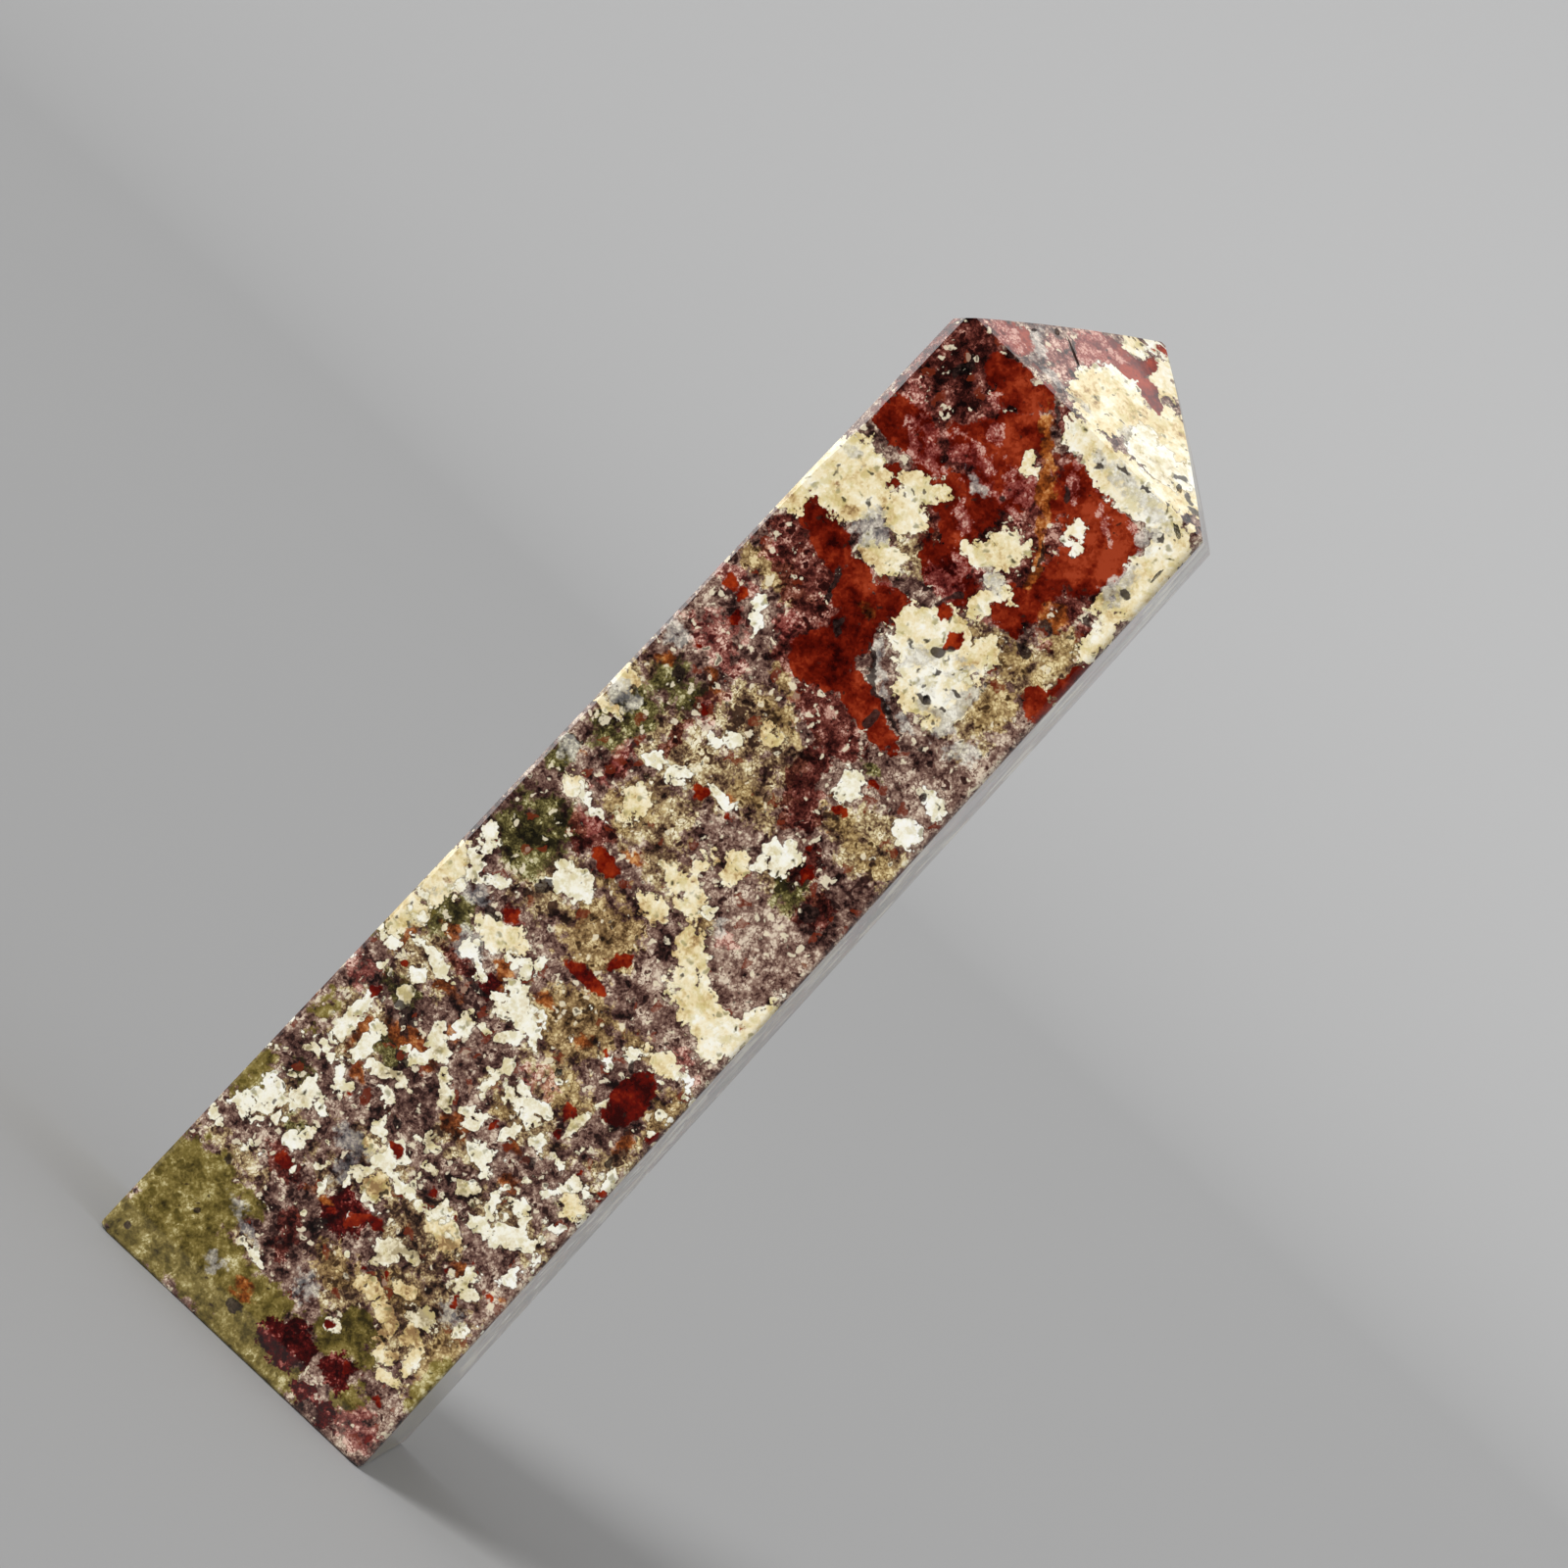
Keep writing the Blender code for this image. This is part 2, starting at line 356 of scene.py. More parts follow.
patches = dict(
    pale=[
        (6.4, 35.4, 2.6, 2.8), (4.9, 64.3, 2.2, 2.4), (-2.6, 67.6, 1.8, 0.6), (-2.3, 64.8, 1, 1.3),
        (2.9, 48.8, 1.6, 0.6, -12), (-3.2, 54.3, 1.2, 0.6), (2.6, 53.2, 2.6, 1.6), (8.2, 46.6, 1.4, 1.6),
        # High on the tip facets the pale patches are partly painted light: besides the stone's paler tone
        # there, they stand in for the hazy reflection on the tip
        (3.2, 22.6, 1.9, 1.2), (-0.4, 76.2, 0.8, 2), (8.6, 30.4, 0.9, 5), (0, 66.6, 0.8, 1.2),
        (-2.6, 74.2, 2.6, 1.8, 45), (-6, 70, 1.8, 1.4), (0.2, 76.4, 0.9, 2.4), (-3.6, 71.6, 1.8, 1.6),
        (7.2, 34.4, 2, 2.2), (7, 58, 1.6, 1.6), (-0.4, 48.2, 0.8, 0.5), (8.2, 52.4, 1.2, 3),
        (9.2, 10, 0.7, 7), (-5.2, 25.9, 1.4, 1.2), (5, 67.6, 2.6, 0.9),
    ],
    shade=[
        (-1.8, 44.3, 2.2, 1.2), (-2.6, 6.8, 1.6, 1.4), (5, 7.4, 3, 3), (4, 11.2, 3, 1.6),
        (1.8, 32.8, 1.8, 1.4), (-7, 31.4, 1.2, 1.2), (-1.6, 51.2, 1.3, 1.8), (6.9, 24.9, 1.6, 2.2),
        (7.4, 39.2, 1.5, 1.1), (6.4, 40, 1, 0.8), (-1.6, 7.4, 2.4, 1.6), (-6.6, 66, 1.6, 1.8),
        (-4.6, 53.4, 1.4, 0.5, -55), (-5.4, 20.4, 1.8, 0.7), (-5.6, 44.2, 0.8, 1.6), (2.4, 2.4, 1.4, 1.2),
        (5.4, 40.4, 0.8, 1.3), (-5.4, 33, 0.8, 1.2), (-2.6, 19, 1.4, 0.6, -40), (0.6, 57.4, 1.4, 0.8),
        (-6.4, 25.2, 1.4, 0.8), (-1.4, 17.2, 3.4, 1.6), (-6.4, 20.6, 2.4, 0.9), (3, 14.6, 2.4, 1.2),
        (-1.4, 12.2, 2.4, 1), (-7.6, 14.4, 1.6, 1), (-2.4, 22.4, 1.8, 0.8), (5.2, 21.4, 1.6, 1.2),
        (7.6, 38.4, 1.4, 1.2), (-6.2, 27.2, 1.2, 0.8), (-3, 29.2, 1, 0.8), (-4.6, 17.4, 1.2, 0.6, -30),
        (-3.4, 15.2, 1.6, 0.6), (5.2, 17.6, 1.2, 0.7), (1.2, 21.6, 1.4, 0.6),
    ],
    crumb=[
        (-1.6, 44.4, 3, 1.9), (-3.2, 40.6, 3.2, 1.7), (0.2, 41.6, 2.6, 1.4), (6.8, 43.8, 2.6, 1.6),
        (-2.6, 36.8, 2.2, 2), (0.2, 35.2, 1.4, 1), (-4.4, 30.4, 2.2, 1.8), (6.4, 8.4, 2.6, 2.8),
        (3.4, 11.8, 2.4, 1.6), (-6.4, 22.8, 2, 1.4), (-6.6, 17.6, 2, 1.6), (3.4, 20.2, 2.8, 0.9),
        (6.6, 15.4, 2.4, 1), (-1, 13.2, 2, 0.9), (-7, 11.8, 1.8, 1.2), (-1.2, 24.6, 2, 1.1),
        (3, 22.8, 1.8, 1), (-4.6, 5, 2.4, 0.8, -20), (3, 6.6, 2, 1.2), (4.6, 56.2, 2.4, 0.9),
        (-2.2, 57.4, 1.4, 1.5), (7.8, 57.4, 1.4, 2), (6.6, 52.8, 1.3, 1.8), (-8.6, 41, 1, 1.8),
        (5.4, 39.2, 1.2, 1), (8.6, 21.8, 0.9, 1.6), (1.6, 16.6, 1.2, 0.7), (-2.2, 10.8, 1.2, 0.7),
        (-6.8, 7.7, 2.2, 0.9),
    ],
    rose=[
        (-3.4, 65.2, 1.3, 0.35, -40), (1.7, 65.9, 0.9, 0.25, -50), (-1.6, 62.6, 1.8, 0.35, -10),
        (-6, 62.6, 1, 0.5), (4.4, 65.4, 1.1, 0.16, -40), (5.9, 66, 0.4, 0.2), (-1.2, 60.2, 0.8, 0.35, -30),
        (-2.4, 55, 0.5, 0.3), (-4.4, 49.6, 0.8, 0.5, -20), (0.6, 58.6, 0.8, 0.5, -20),
        (-7.6, 63.6, 0.8, 0.4), (3.2, 57, 0.6, 0.3), (-7, 46.3, 1.5, 0.8), (-5.2, 45.9, 0.9, 0.5),
        (-8, 49.4, 1, 0.6), (-6, 37.6, 0.5, 1.3), (-4.1, 27.2, 0.8, 0.8), (-5.2, 34, 0.7, 0.6),
        (-8.5, 20, 1, 0.8), (-3.2, 62.9, 1.5, 1), (0.1, 63.6, 1.2, 0.8), (-5.2, 61.5, 1.2, 0.6),
        (-4.6, 43.6, 0.5, 0.9), (-6.6, 47.6, 0.9, 0.6), (-8.2, 51.9, 1, 0.4), (-3.4, 71.6, 1.6, 1.6),
        (-6.6, 69.6, 1.4, 0.8), (-1.6, 69.6, 1.4, 0.5), (-2.6, 74.6, 1.6, 1.6, 45), (0.3, 57, 1.2, 0.8),
        (7.7, 28.3, 0.9, 0.5), (4.6, 34.9, 0.5, 0.4), (8.4, 1.6, 1.4, 0.9), (-0.4, 9.9, 0.9, 0.5),
        (2.8, 22.2, 0.9, 0.7),
    ],
    tan=[
        (-6.8, 51.2, 2.3, 0.9), (-2.7, 47.2, 1.3, 0.5, -20), (-1.3, 45.6, 1.5, 0.6, -10),
        (6.8, 53.8, 1.3, 1.4), (5.2, 43.4, 1.5, 0.6), (-0.3, 30.2, 2, 2.2), (1.9, 25.8, 2.3, 2.2),
        (-1.8, 32.7, 1.3, 0.6), (8.8, 25.6, 0.9, 1.6), (5.2, 27.2, 1.1, 0.6), (7.4, 58.6, 1.4, 1.2),
        (5.4, 56.3, 2.5, 0.8, 12), (-3.9, 36.6, 1.1, 1.6), (4.2, 22.6, 1.5, 1.2), (2.6, 20, 1.2, 0.8),
        (1.3, 7.2, 1.5, 1), (4.6, 8.6, 1.4, 0.8), (8.9, 7.6, 0.9, 2.4), (3.1, 34.6, 0.7, 0.5),
        (8, 43.4, 1, 0.8), (0.5, 41.2, 1.4, 0.6),
    ],
    green=[
        (-7.2, 43.2, 1.2, 1.2), (-7.4, 40.4, 1.4, 1.4), (-7.7, 38.6, 1.1, 0.9), (-6.9, 31.3, 2.1, 1.7),
        (-6.5, 33.3, 1.8, 1), (-8.6, 36, 0.7, 1.2), (-7.2, 25.4, 1.3, 1.3), (-6.3, 20.7, 1.3, 0.6),
        (-5.3, 43, 0.6, 1), (-8.6, 33, 0.6, 0.9), (-5.3, 11.4, 0.7, 0.7), (-7.2, 13.6, 0.7, 0.5),
        (4.4, 46.9, 0.6, 0.4), (5.6, 38.8, 0.8, 0.8), (-4.5, 18, 1, 0.7, -30),
    ],
    olive=[
        (-7.6, 1.2, 3.2, 2), (-7.3, 4.7, 3.4, 2.7, -25), (-3.4, 2.4, 3.6, 2, -10), (1, 0.8, 3.8, 1.5),
        (0.2, 3.2, 1.8, 1.2), (4.4, 4.5, 2, 0.9), (-9, 12, 0.8, 1.8), (6.6, 2.6, 1, 0.9),
        (-8.6, 17, 0.7, 1), (-8.9, 23.6, 1, 1.6), (-4.6, 6.6, 1, 0.6),
    ],
    cream=[
        (-7.5, 57.7, 2.5, 2.2), (-4, 60.1, 1.7, 0.8, 25), (-3.9, 58.4, 1.3, 1.3), (1.6, 60.6, 1, 1.3),
        (0.8, 59.5, 1, 0.7), (2.7, 57.6, 0.5, 1.3), (2.7, 58.8, 1, 0.5), (3.7, 64, 0.5, 0.6),
        (4.4, 63.4, 0.3, 0.35), (-0.7, 65, 0.8, 0.45, -45), (8.2, 64.8, 1.2, 3.3), (7.7, 61.8, 1, 0.8),
        (8.5, 60.2, 0.7, 1.2), (0.7, 67.9, 1.4, 1), (4.6, 67.7, 3.8, 1.3), (-9, 55.2, 1, 1.4),
        (-3.2, 55.8, 1.5, 0.8), (2, 54.2, 2.3, 2.1), (3.8, 52.7, 2.1, 2.3), (4.5, 55.6, 0.9, 1),
        (-3.9, 36.9, 0.7, 1.1), (6.8, 31, 2.5, 1.2, -8), (9.1, 32.2, 0.7, 2), (3.8, 33.1, 1.6, 0.9, -42),
        (8, 29.7, 0.9, 0.6), (5, 31.4, 1.2, 1, -30), (1.2, 35.3, 1.6, 0.6), (1.1, 36.9, 0.4, 1.1),
        (2.5, 37.8, 0.7, 1.1), (2.2, 34.6, 0.8, 0.5), (0.6, 33.4, 0.9, 0.7), (-8.8, 27, 1.1, 1.9),
        (-8.9, 23.8, 0.8, 1.4), (-4.4, 26.6, 1.6, 0.9, 10), (7, 27.5, 1.2, 0.6), (8.4, 18.4, 0.8, 0.7),
        (3.6, 7.6, 0.8, 0.5), (5.2, 7, 0.9, 0.5, -20), (6.9, 7.4, 0.8, 0.6), (8, 6.2, 0.5, 0.8),
        (6.6, 5.6, 0.8, 0.4), (7.8, 4.8, 0.8, 0.4), (5, 8.8, 0.5, 0.4), (8.7, 9.2, 0.5, 0.5),
        (4.3, 12.8, 1.3, 0.8, -30), (-1.1, 13.3, 1, 0.5), (0, 12, 0.8, 0.8), (0.9, 78.2, 0.8, 0.9),
        (-1.2, 77.9, 0.7, 0.6), (1.9, 77.2, 0.6, 0.6), (-0.9, 44.6, 0.8, 0.4), (0, 71.8, 2.4, 3),
        (3.6, 72.3, 2.6, 2.9), (6.4, 70.2, 2, 1.8), (1.5, 76.6, 1, 1.2), (-1.3, 77.3, 0.8, 0.5),
        (2.9, 74, 1.4, 1.4), (-6.8, 35.3, 0.8, 0.6, -20), (-8.9, 41.4, 0.7, 0.8), (-8.5, 39.6, 0.8, 0.3),
    ],
    chalcedony=[
        (-4.6, 56.6, 1, 1.2), (5.3, 67.7, 2.6, 0.5, -8), (7.5, 63.2, 0.6, 1.3), (0.5, 51.6, 0.32, 1, 25),
        (1.7, 53, 0.35, 0.8), (5.5, 52.2, 0.45, 2), (1.9, 50.7, 1, 0.12, -32), (3.6, 50, 0.9, 0.2, -10),
        (-2.2, 62.2, 0.8, 0.35, -10), (-8.5, 45.1, 0.6, 0.7), (-8.4, 40.6, 0.8, 0.7),
        (-8.6, 36.6, 0.6, 0.5), (-6.8, 27.3, 0.9, 0.6), (-5.2, 25, 1, 0.6), (-2.5, 12.9, 1.3, 0.6),
        (-1.8, 11.4, 0.6, 0.9), (-3.6, 2.9, 0.5, 0.5), (-4, 5.6, 1.2, 0.35, -20), (0.9, 5.4, 0.7, 0.7),
        (3, 67.5, 1.6, 0.35, -8), (6.9, 66.4, 0.4, 0.9), (2.3, 53.4, 0.5, 0.7), (4.6, 51.4, 0.9, 0.3, -10),
        (3.9, 53.6, 0.3, 0.24), (4.8, 52.6, 0.26, 0.3), (3.2, 52.3, 0.5, 0.2), (4.2, 54.4, 0.5, 0.4),
        (-7.9, 58.9, 0.7, 0.3), (-4.9, 71, 1.5, 0.5, -62), (-2.6, 69.6, 2, 0.35), (2.8, 70.6, 1.2, 0.8),
        (4.6, 70, 1.1, 0.7), (7.7, 9.6, 0.7, 0.7), (2.3, 58.9, 0.5, 0.6), (4, 35.2, 0.3, 0.5),
        (7.4, 50.9, 0.6, 0.7, -45),
    ],
    maroon=[
        (-4.6, 64.4, 4.6, 4.2), (0.4, 63.2, 3.8, 2.8, -30), (4.6, 63.4, 2.6, 3.2),
        (-1.4, 59.6, 2.6, 2.2, -30), (3.6, 59.4, 1.8, 2.4), (-5.4, 52.6, 3.6, 1.9, -22),
        (-2.6, 49.6, 2.8, 1.9, -20), (0.8, 47.4, 2.6, 1, -8), (-8.8, 68.6, 1, 1.4), (-7.3, 66.2, 2.6, 3),
        (-5, 65.2, 1.8, 1.7, -20), (-0.9, 67.9, 0.8, 0.9), (3.1, 62.9, 1.2, 1.3), (6.1, 60.6, 1.4, 1.3),
        (7.9, 60.2, 0.9, 0.5, -25), (0.9, 66.3, 0.8, 0.5), (-6.8, 53.1, 1.7, 1.1), (-4.6, 52.6, 1.4, 1.7),
        (-3.9, 50.6, 1.3, 1.8), (-3.4, 49, 1, 1.3), (0.4, 47.1, 2.7, 0.9, -12), (1.8, 44.7, 1.1, 1.4),
        (2.9, 42.8, 1.3, 1.4), (5.2, 40.6, 0.9, 1.4), (7.3, 39.1, 1, 1), (-4.5, 33.9, 1.2, 1.1),
        (-6, 37.6, 0.6, 1.1), (-4.6, 9.4, 1.4, 0.7, -15), (-1.9, 6.7, 0.8, 1.4, 25), (1.2, 57.4, 1.6, 1.6),
        (-4.9, 24, 1.2, 0.6), (-4.7, 40.8, 0.5, 1.3), (-4.6, 27.7, 0.7, 0.5), (6.6, 58.3, 0.6, 0.4),
        (0.5, 62.9, 1.6, 0.8, -20), (-4.6, 61.8, 1.8, 0.8),
    ],
    crimson=[
        (2.2, 2.4, 1.7, 1.4), (5.3, 3.1, 1.1, 1), (6.4, 0.9, 0.9, 0.6), (-0.3, 9.6, 1.5, 1.3),
        (-2.8, 24.1, 0.9, 0.8), (4.6, 1.1, 0.8, 0.6),
    ],
    red=[
        (-7, 61.9, 1.9, 1.5), (-4.7, 61.2, 1.3, 0.7), (-5.7, 59.4, 0.6, 0.5, -20), (-2.4, 64.6, 1.8, 2),
        (-1, 63.2, 1.9, 1.5), (-4.3, 67.4, 2, 1.1, -12), (-3.9, 63.4, 1.2, 1), (-2.6, 68.1, 0.9, 0.7),
        (-1.6, 66.1, 1.3, 0.9), (-1.7, 61, 2, 1.5), (-0.6, 59.3, 2, 1.2, -35), (-0.3, 57.6, 1.5, 0.9, -30),
        (-1.3, 57.4, 1.7, 0.35, -48), (4.8, 64.8, 2.3, 1.6), (5.3, 62.9, 1.7, 1.7),
        (2.5, 65.7, 1.9, 1.1, -8), (1.6, 64.4, 1.2, 0.9), (6.5, 64.8, 0.6, 1.3), (4.6, 61.2, 0.9, 1.4),
        (4.3, 59, 1.2, 1.2), (4.1, 57.9, 1.4, 0.8), (9.1, 57.8, 0.5, 1.8), (8.5, 55.6, 0.9, 0.9),
        (-7.4, 54.8, 1, 0.9), (-6, 54.6, 2, 1, -20), (-3.2, 53.6, 1.6, 1, -60), (-1, 54.3, 1.5, 0.9, 5),
        (-1.6, 53.4, 1.2, 0.9), (-1.5, 51.4, 1.3, 1.9), (-1.6, 49.5, 2, 1.6), (1.2, 49.3, 2.1, 0.95, -14),
        (3.3, 48.6, 1.3, 0.6, -10), (1.3, 57.2, 0.9, 1), (-5.9, 70, 1.4, 1.2), (-2.2, 74.9, 2.2, 1.4, 60),
        (-1, 75.4, 1.2, 0.9), (0, 76.6, 0.55, 1.6), (-2.8, 33.3, 0.95, 0.6),
    ],
    ochre=[
        (-3.4, 19, 1.2, 0.7, -20), (0.9, 17.4, 0.8, 0.6), (-6.5, 24.8, 0.6, 0.5), (-0.2, 25.6, 0.6, 0.4),
        (2.9, 25.4, 0.5, 0.4), (5.2, 17, 0.6, 0.5), (-2, 9.6, 0.6, 0.4), (8.2, 22.8, 0.4, 0.8),
        (-5, 15.8, 0.7, 0.3, -30), (4, 18.6, 0.5, 0.3), (-1.6, 2.9, 0.8, 0.4), (6.2, 11.6, 0.5, 0.4),
        (-1, 66.6, 1.7, 0.35, -52), (1.2, 64.2, 1.6, 0.45, -48), (3.2, 61.2, 1.6, 0.3, -58),
        (-1.9, 34.5, 0.6, 0.4), (-5.3, 44.7, 0.7, 0.4, -30), (-8.1, 43.7, 0.5, 0.35),
        (-2.9, 25.3, 0.7, 0.5), (-8.1, 23, 0.25, 0.9), (-4.2, 18.9, 1.4, 0.6), (1.2, 17.2, 0.6, 0.5),
        (-6.5, 17.5, 0.35, 1), (-4.5, 22.5, 0.9, 0.35), (-2.5, 21, 0.35, 0.4), (-0.3, 40.4, 0.3, 0.3),
        (6, 59.8, 0.7, 0.6),
    ],
    flakes=[
        (8.1, 47.8, 0.75, 0.6), (8, 45.6, 0.95, 0.7, 25), (4.1, 45.6, 0.65, 1), (-6.1, 49, 0.95, 0.35, -58),
        (-2.2, 43, 0.4, 0.35), (-3, 42.4, 0.4, 0.5), (-4.5, 39.2, 0.6, 0.4), (-3, 39.5, 0.6, 0.6),
        (-0.6, 40.2, 0.8, 0.3), (4.2, 40.5, 0.8, 0.55), (4.2, 39.6, 0.55, 0.45), (3.4, 39.7, 0.6, 1),
        (-3.6, 31.3, 1.3, 0.9, 10), (3, 35.3, 0.35, 0.45), (-5.6, 35.2, 1, 0.25, -20),
        (-6.1, 23.1, 1.5, 0.35, -8), (-6.2, 21.9, 0.7, 0.4), (-1.7, 25.1, 0.5, 0.7),
        (-0.9, 24.3, 1.3, 0.6, -35), (0.4, 23.9, 1, 0.55, -25), (-1.6, 23.7, 0.9, 0.4),
        (-2.5, 21.7, 0.5, 0.8), (-1.5, 22.2, 0.3, 0.2), (-2.6, 19.6, 0.65, 0.7), (-7.3, 17.9, 0.45, 1.7),
        (-5.7, 17.6, 0.45, 1.6), (-3.8, 16.9, 1.2, 0.35, 15), (-1, 18.4, 1.3, 0.4, -42),
        (1.2, 18.4, 0.9, 0.28, 20), (3.2, 16.9, 1.2, 0.5, -25), (2.3, 20.5, 0.8, 0.4, -15),
        (3.7, 20.3, 0.8, 0.4, -20), (4.8, 19.8, 0.4, 0.35, -45), (3.45, 19.3, 0.3, 0.38),
        (6.4, 16.5, 0.7, 0.5), (7.4, 15.1, 1.8, 0.6, 20), (3.9, 15.2, 0.7, 0.5),
        (6.4, 19.6, 0.5, 0.25, -30), (9.5, 18.4, 0.25, 0.5), (-7.9, 12.1, 0.6, 0.5),
        (-7.7, 11.2, 0.6, 0.65), (-8.6, 10.4, 0.55, 0.5), (-7.9, 10.2, 0.55, 0.4), (-6.9, 11.7, 0.35, 0.4),
        (-6.4, 10.9, 0.35, 0.5), (-6.3, 12.9, 0.7, 0.9), (-4.7, 11.2, 0.4, 0.6),
        (-2.5, 4.6, 0.7, 0.22, -15), (5, 53.9, 0.3, 0.3), (6.8, 8.4, 0.8, 0.5), (7.2, 11.1, 0.7, 0.35),
        (2.8, 9.7, 0.8, 0.9), (3.3, 13.4, 0.5, 0.6), (-5.2, 24.9, 0.5, 0.4), (1.9, 26.9, 0.2, 0.3),
        (-0.4, 78.5, 0.5, 0.38), (-5, 14.6, 0.8, 0.4, 30), (3.25, 4.7, 0.5, 0.48), (4.4, 70.6, 2.2, 1.5),
        (2.8, 71.6, 0.8, 1.2), (-0.4, 79.1, 0.9, 0.5), (6.3, 72, 0.7, 1.2, 35), (-7.9, 28.4, 0.9, 0.4, -50),
        (-2.9, 26.1, 0.5, 0.3), (-1.9, 25.9, 0.25, 0.9, 30), (-8.4, 22.2, 0.6, 0.3),
        (-3.2, 20.4, 0.4, 0.9, 20), (0.4, 15.6, 0.8, 0.3, 10), (-2.2, 14.4, 0.7, 0.3, -20),
        (-7, 15.6, 0.9, 0.3), (5.8, 14.2, 0.9, 0.3, 10), (8.9, 13.4, 0.4, 0.6), (1.6, 14.6, 0.5, 0.3),
        (-8.4, 30, 0.5, 1, 25), (-6.2, 28.7, 0.8, 0.3, 20), (-3, 15.9, 0.5, 0.3), (8.4, 17, 0.6, 0.3),
        (2.4, 21.2, 0.5, 0.3),
    ],
    redSpots=[
        (0.4, 9.8, 0.4, 0.6), (-4.7, 9.6, 0.5, 0.4), (-0.9, 9.2, 0.3, 0.3), (5.6, 3.5, 0.3, 0.3),
        (0.1, 76.6, 0.45, 1.5), (0.9, 75.6, 0.5, 0.8, 30), (-0.4, 75.2, 0.7, 0.5),
        (1.9, 74.9, 0.6, 0.25, -40), (2.8, 55, 0.45, 0.8), (1.3, 55.8, 0.7, 0.4), (1.2, 75, 1.1, 0.5, -35),
        (2.1, 74.3, 0.5, 0.35), (-0.1, 79.2, 0.6, 0.3), (-8.2, 49.1, 0.45, 0.45), (-7.4, 48.9, 0.35, 0.5),
        (-6.7, 47.8, 0.3, 0.4), (-7.2, 45.6, 0.3, 0.25), (-4.6, 43.1, 0.25, 0.35), (4.9, 46.4, 0.28, 0.26),
        (4.5, 44, 0.4, 0.4), (-1.7, 39.6, 0.5, 0.4), (0.2, 39.7, 0.25, 0.2), (1.3, 30, 0.9, 0.42, 62),
        (0.7, 28.1, 1.35, 0.45, 5), (4.9, 22, 0.38, 0.42), (5.4, 20.8, 0.35, 0.28), (2.5, 18.7, 0.2, 0.2),
        (-2.9, 33.3, 0.9, 0.55), (7.6, 19.9, 0.15, 0.28), (9.35, 19.9, 0.25, 0.3), (-7.3, 19.6, 0.22, 0.38),
        (1.3, 10.4, 0.6, 0.35), (7.4, 10.4, 0.25, 0.3), (8.75, 11.6, 0.25, 0.2), (8, 3.4, 0.25, 0.25),
        (-4.6, 27.8, 0.5, 0.4), (5.7, 40.3, 0.4, 0.6), (9.2, 24.1, 0.3, 0.5), (-0.7, 14.2, 0.5, 0.3),
        (4.3, 25.8, 0.2, 0.2), (-4.6, 14.5, 0.25, 0.25), (2.4, 13.8, 0.2, 0.2), (4.4, 13.6, 0.18, 0.16),
        (6.7, 12.5, 0.16, 0.18), (2.5, 8.3, 0.15, 0.15), (4.2, 10.7, 0.18, 0.14), (3.8, 8.8, 0.14, 0.14),
        (3.25, 4.7, 0.27, 0.25), (9, 1.7, 0.3, 0.3), (-0.4, 78.5, 0.28, 0.2), (6.9, 24.9, 1.1, 1.75),
    ],
    black=[
        (-6.9, 66.4, 0.4, 0.7), (-4, 53, 1.1, 0.22, -62), (-2.3, 51.2, 0.2, 0.45, 30),
        (7.1, 38.8, 0.5, 0.6), (6.1, 59.1, 0.5, 0.25, -20), (-5.2, 20, 0.9, 0.35, -10),
        (3.8, 51.75, 0.4, 0.2), (3.25, 53.1, 0.15, 0.2), (2.7, 52.6, 0.15, 0.15),
        (-1.3, 67.9, 0.7, 0.12, -60), (-1.2, 1.9, 0.5, 0.5), (-7, 7.5, 0.3, 0.25), (-4.4, 30.2, 0.35, 0.5),
        (3.1, 61.6, 0.7, 0.15, -55), (8.4, 21.5, 0.2, 0.4), (-6.9, 43.6, 0.5, 0.5), (-0.9, 8.2, 0.4, 0.4),
        (5.2, 58.2, 0.5, 0.12, -25), (5, 68.2, 0.5, 0.12), (3.4, 68.1, 0.5, 0.1, 10),
        (6.3, 68.3, 0.3, 0.12, -30), (2.2, 67.4, 0.3, 0.1), (7.3, 66.6, 0.14, 0.3, 20),
        (2.2, 54.6, 0.16, 0.12), (3.2, 54.1, 0.1, 0.14), (4.3, 52.7, 0.16, 0.1), (2.9, 51.8, 0.22, 0.1),
        (4.8, 51.8, 0.14, 0.12), (1.2, 53.4, 0.12, 0.16), (8, 63.2, 0.3, 0.2), (7.4, 60.6, 0.4, 0.2),
        (1.6, 54, 0.14, 0.3, 20), (4.9, 53, 0.2, 0.14), (-6.6, 58.6, 0.16, 0.12), (-5.6, 57.4, 0.2, 0.12),
        (-8.2, 57.6, 0.14, 0.2), (-3.2, 72.8, 1.25, 0.16, -48), (6.9, 69.9, 0.5, 0.3, -30),
        (7.7, 69.4, 0.4, 0.3), (5.9, 70.9, 0.4, 0.25, 30), (0.55, 51, 1.4, 0.17, -43),
        (2.6, 49.85, 1.6, 0.15, -21), (-3.4, 23.6, 0.8, 0.2), (-5.6, 27.2, 0.6, 0.3),
        (-4.9, 19.4, 0.7, 0.2, -30), (1.9, 65, 0.5, 0.25, -50), (-1.6, 15.2, 0.5, 0.2),
        (-3.8, 17.9, 0.6, 0.2, -20), (5, 18.6, 0.5, 0.2),
    ],
)

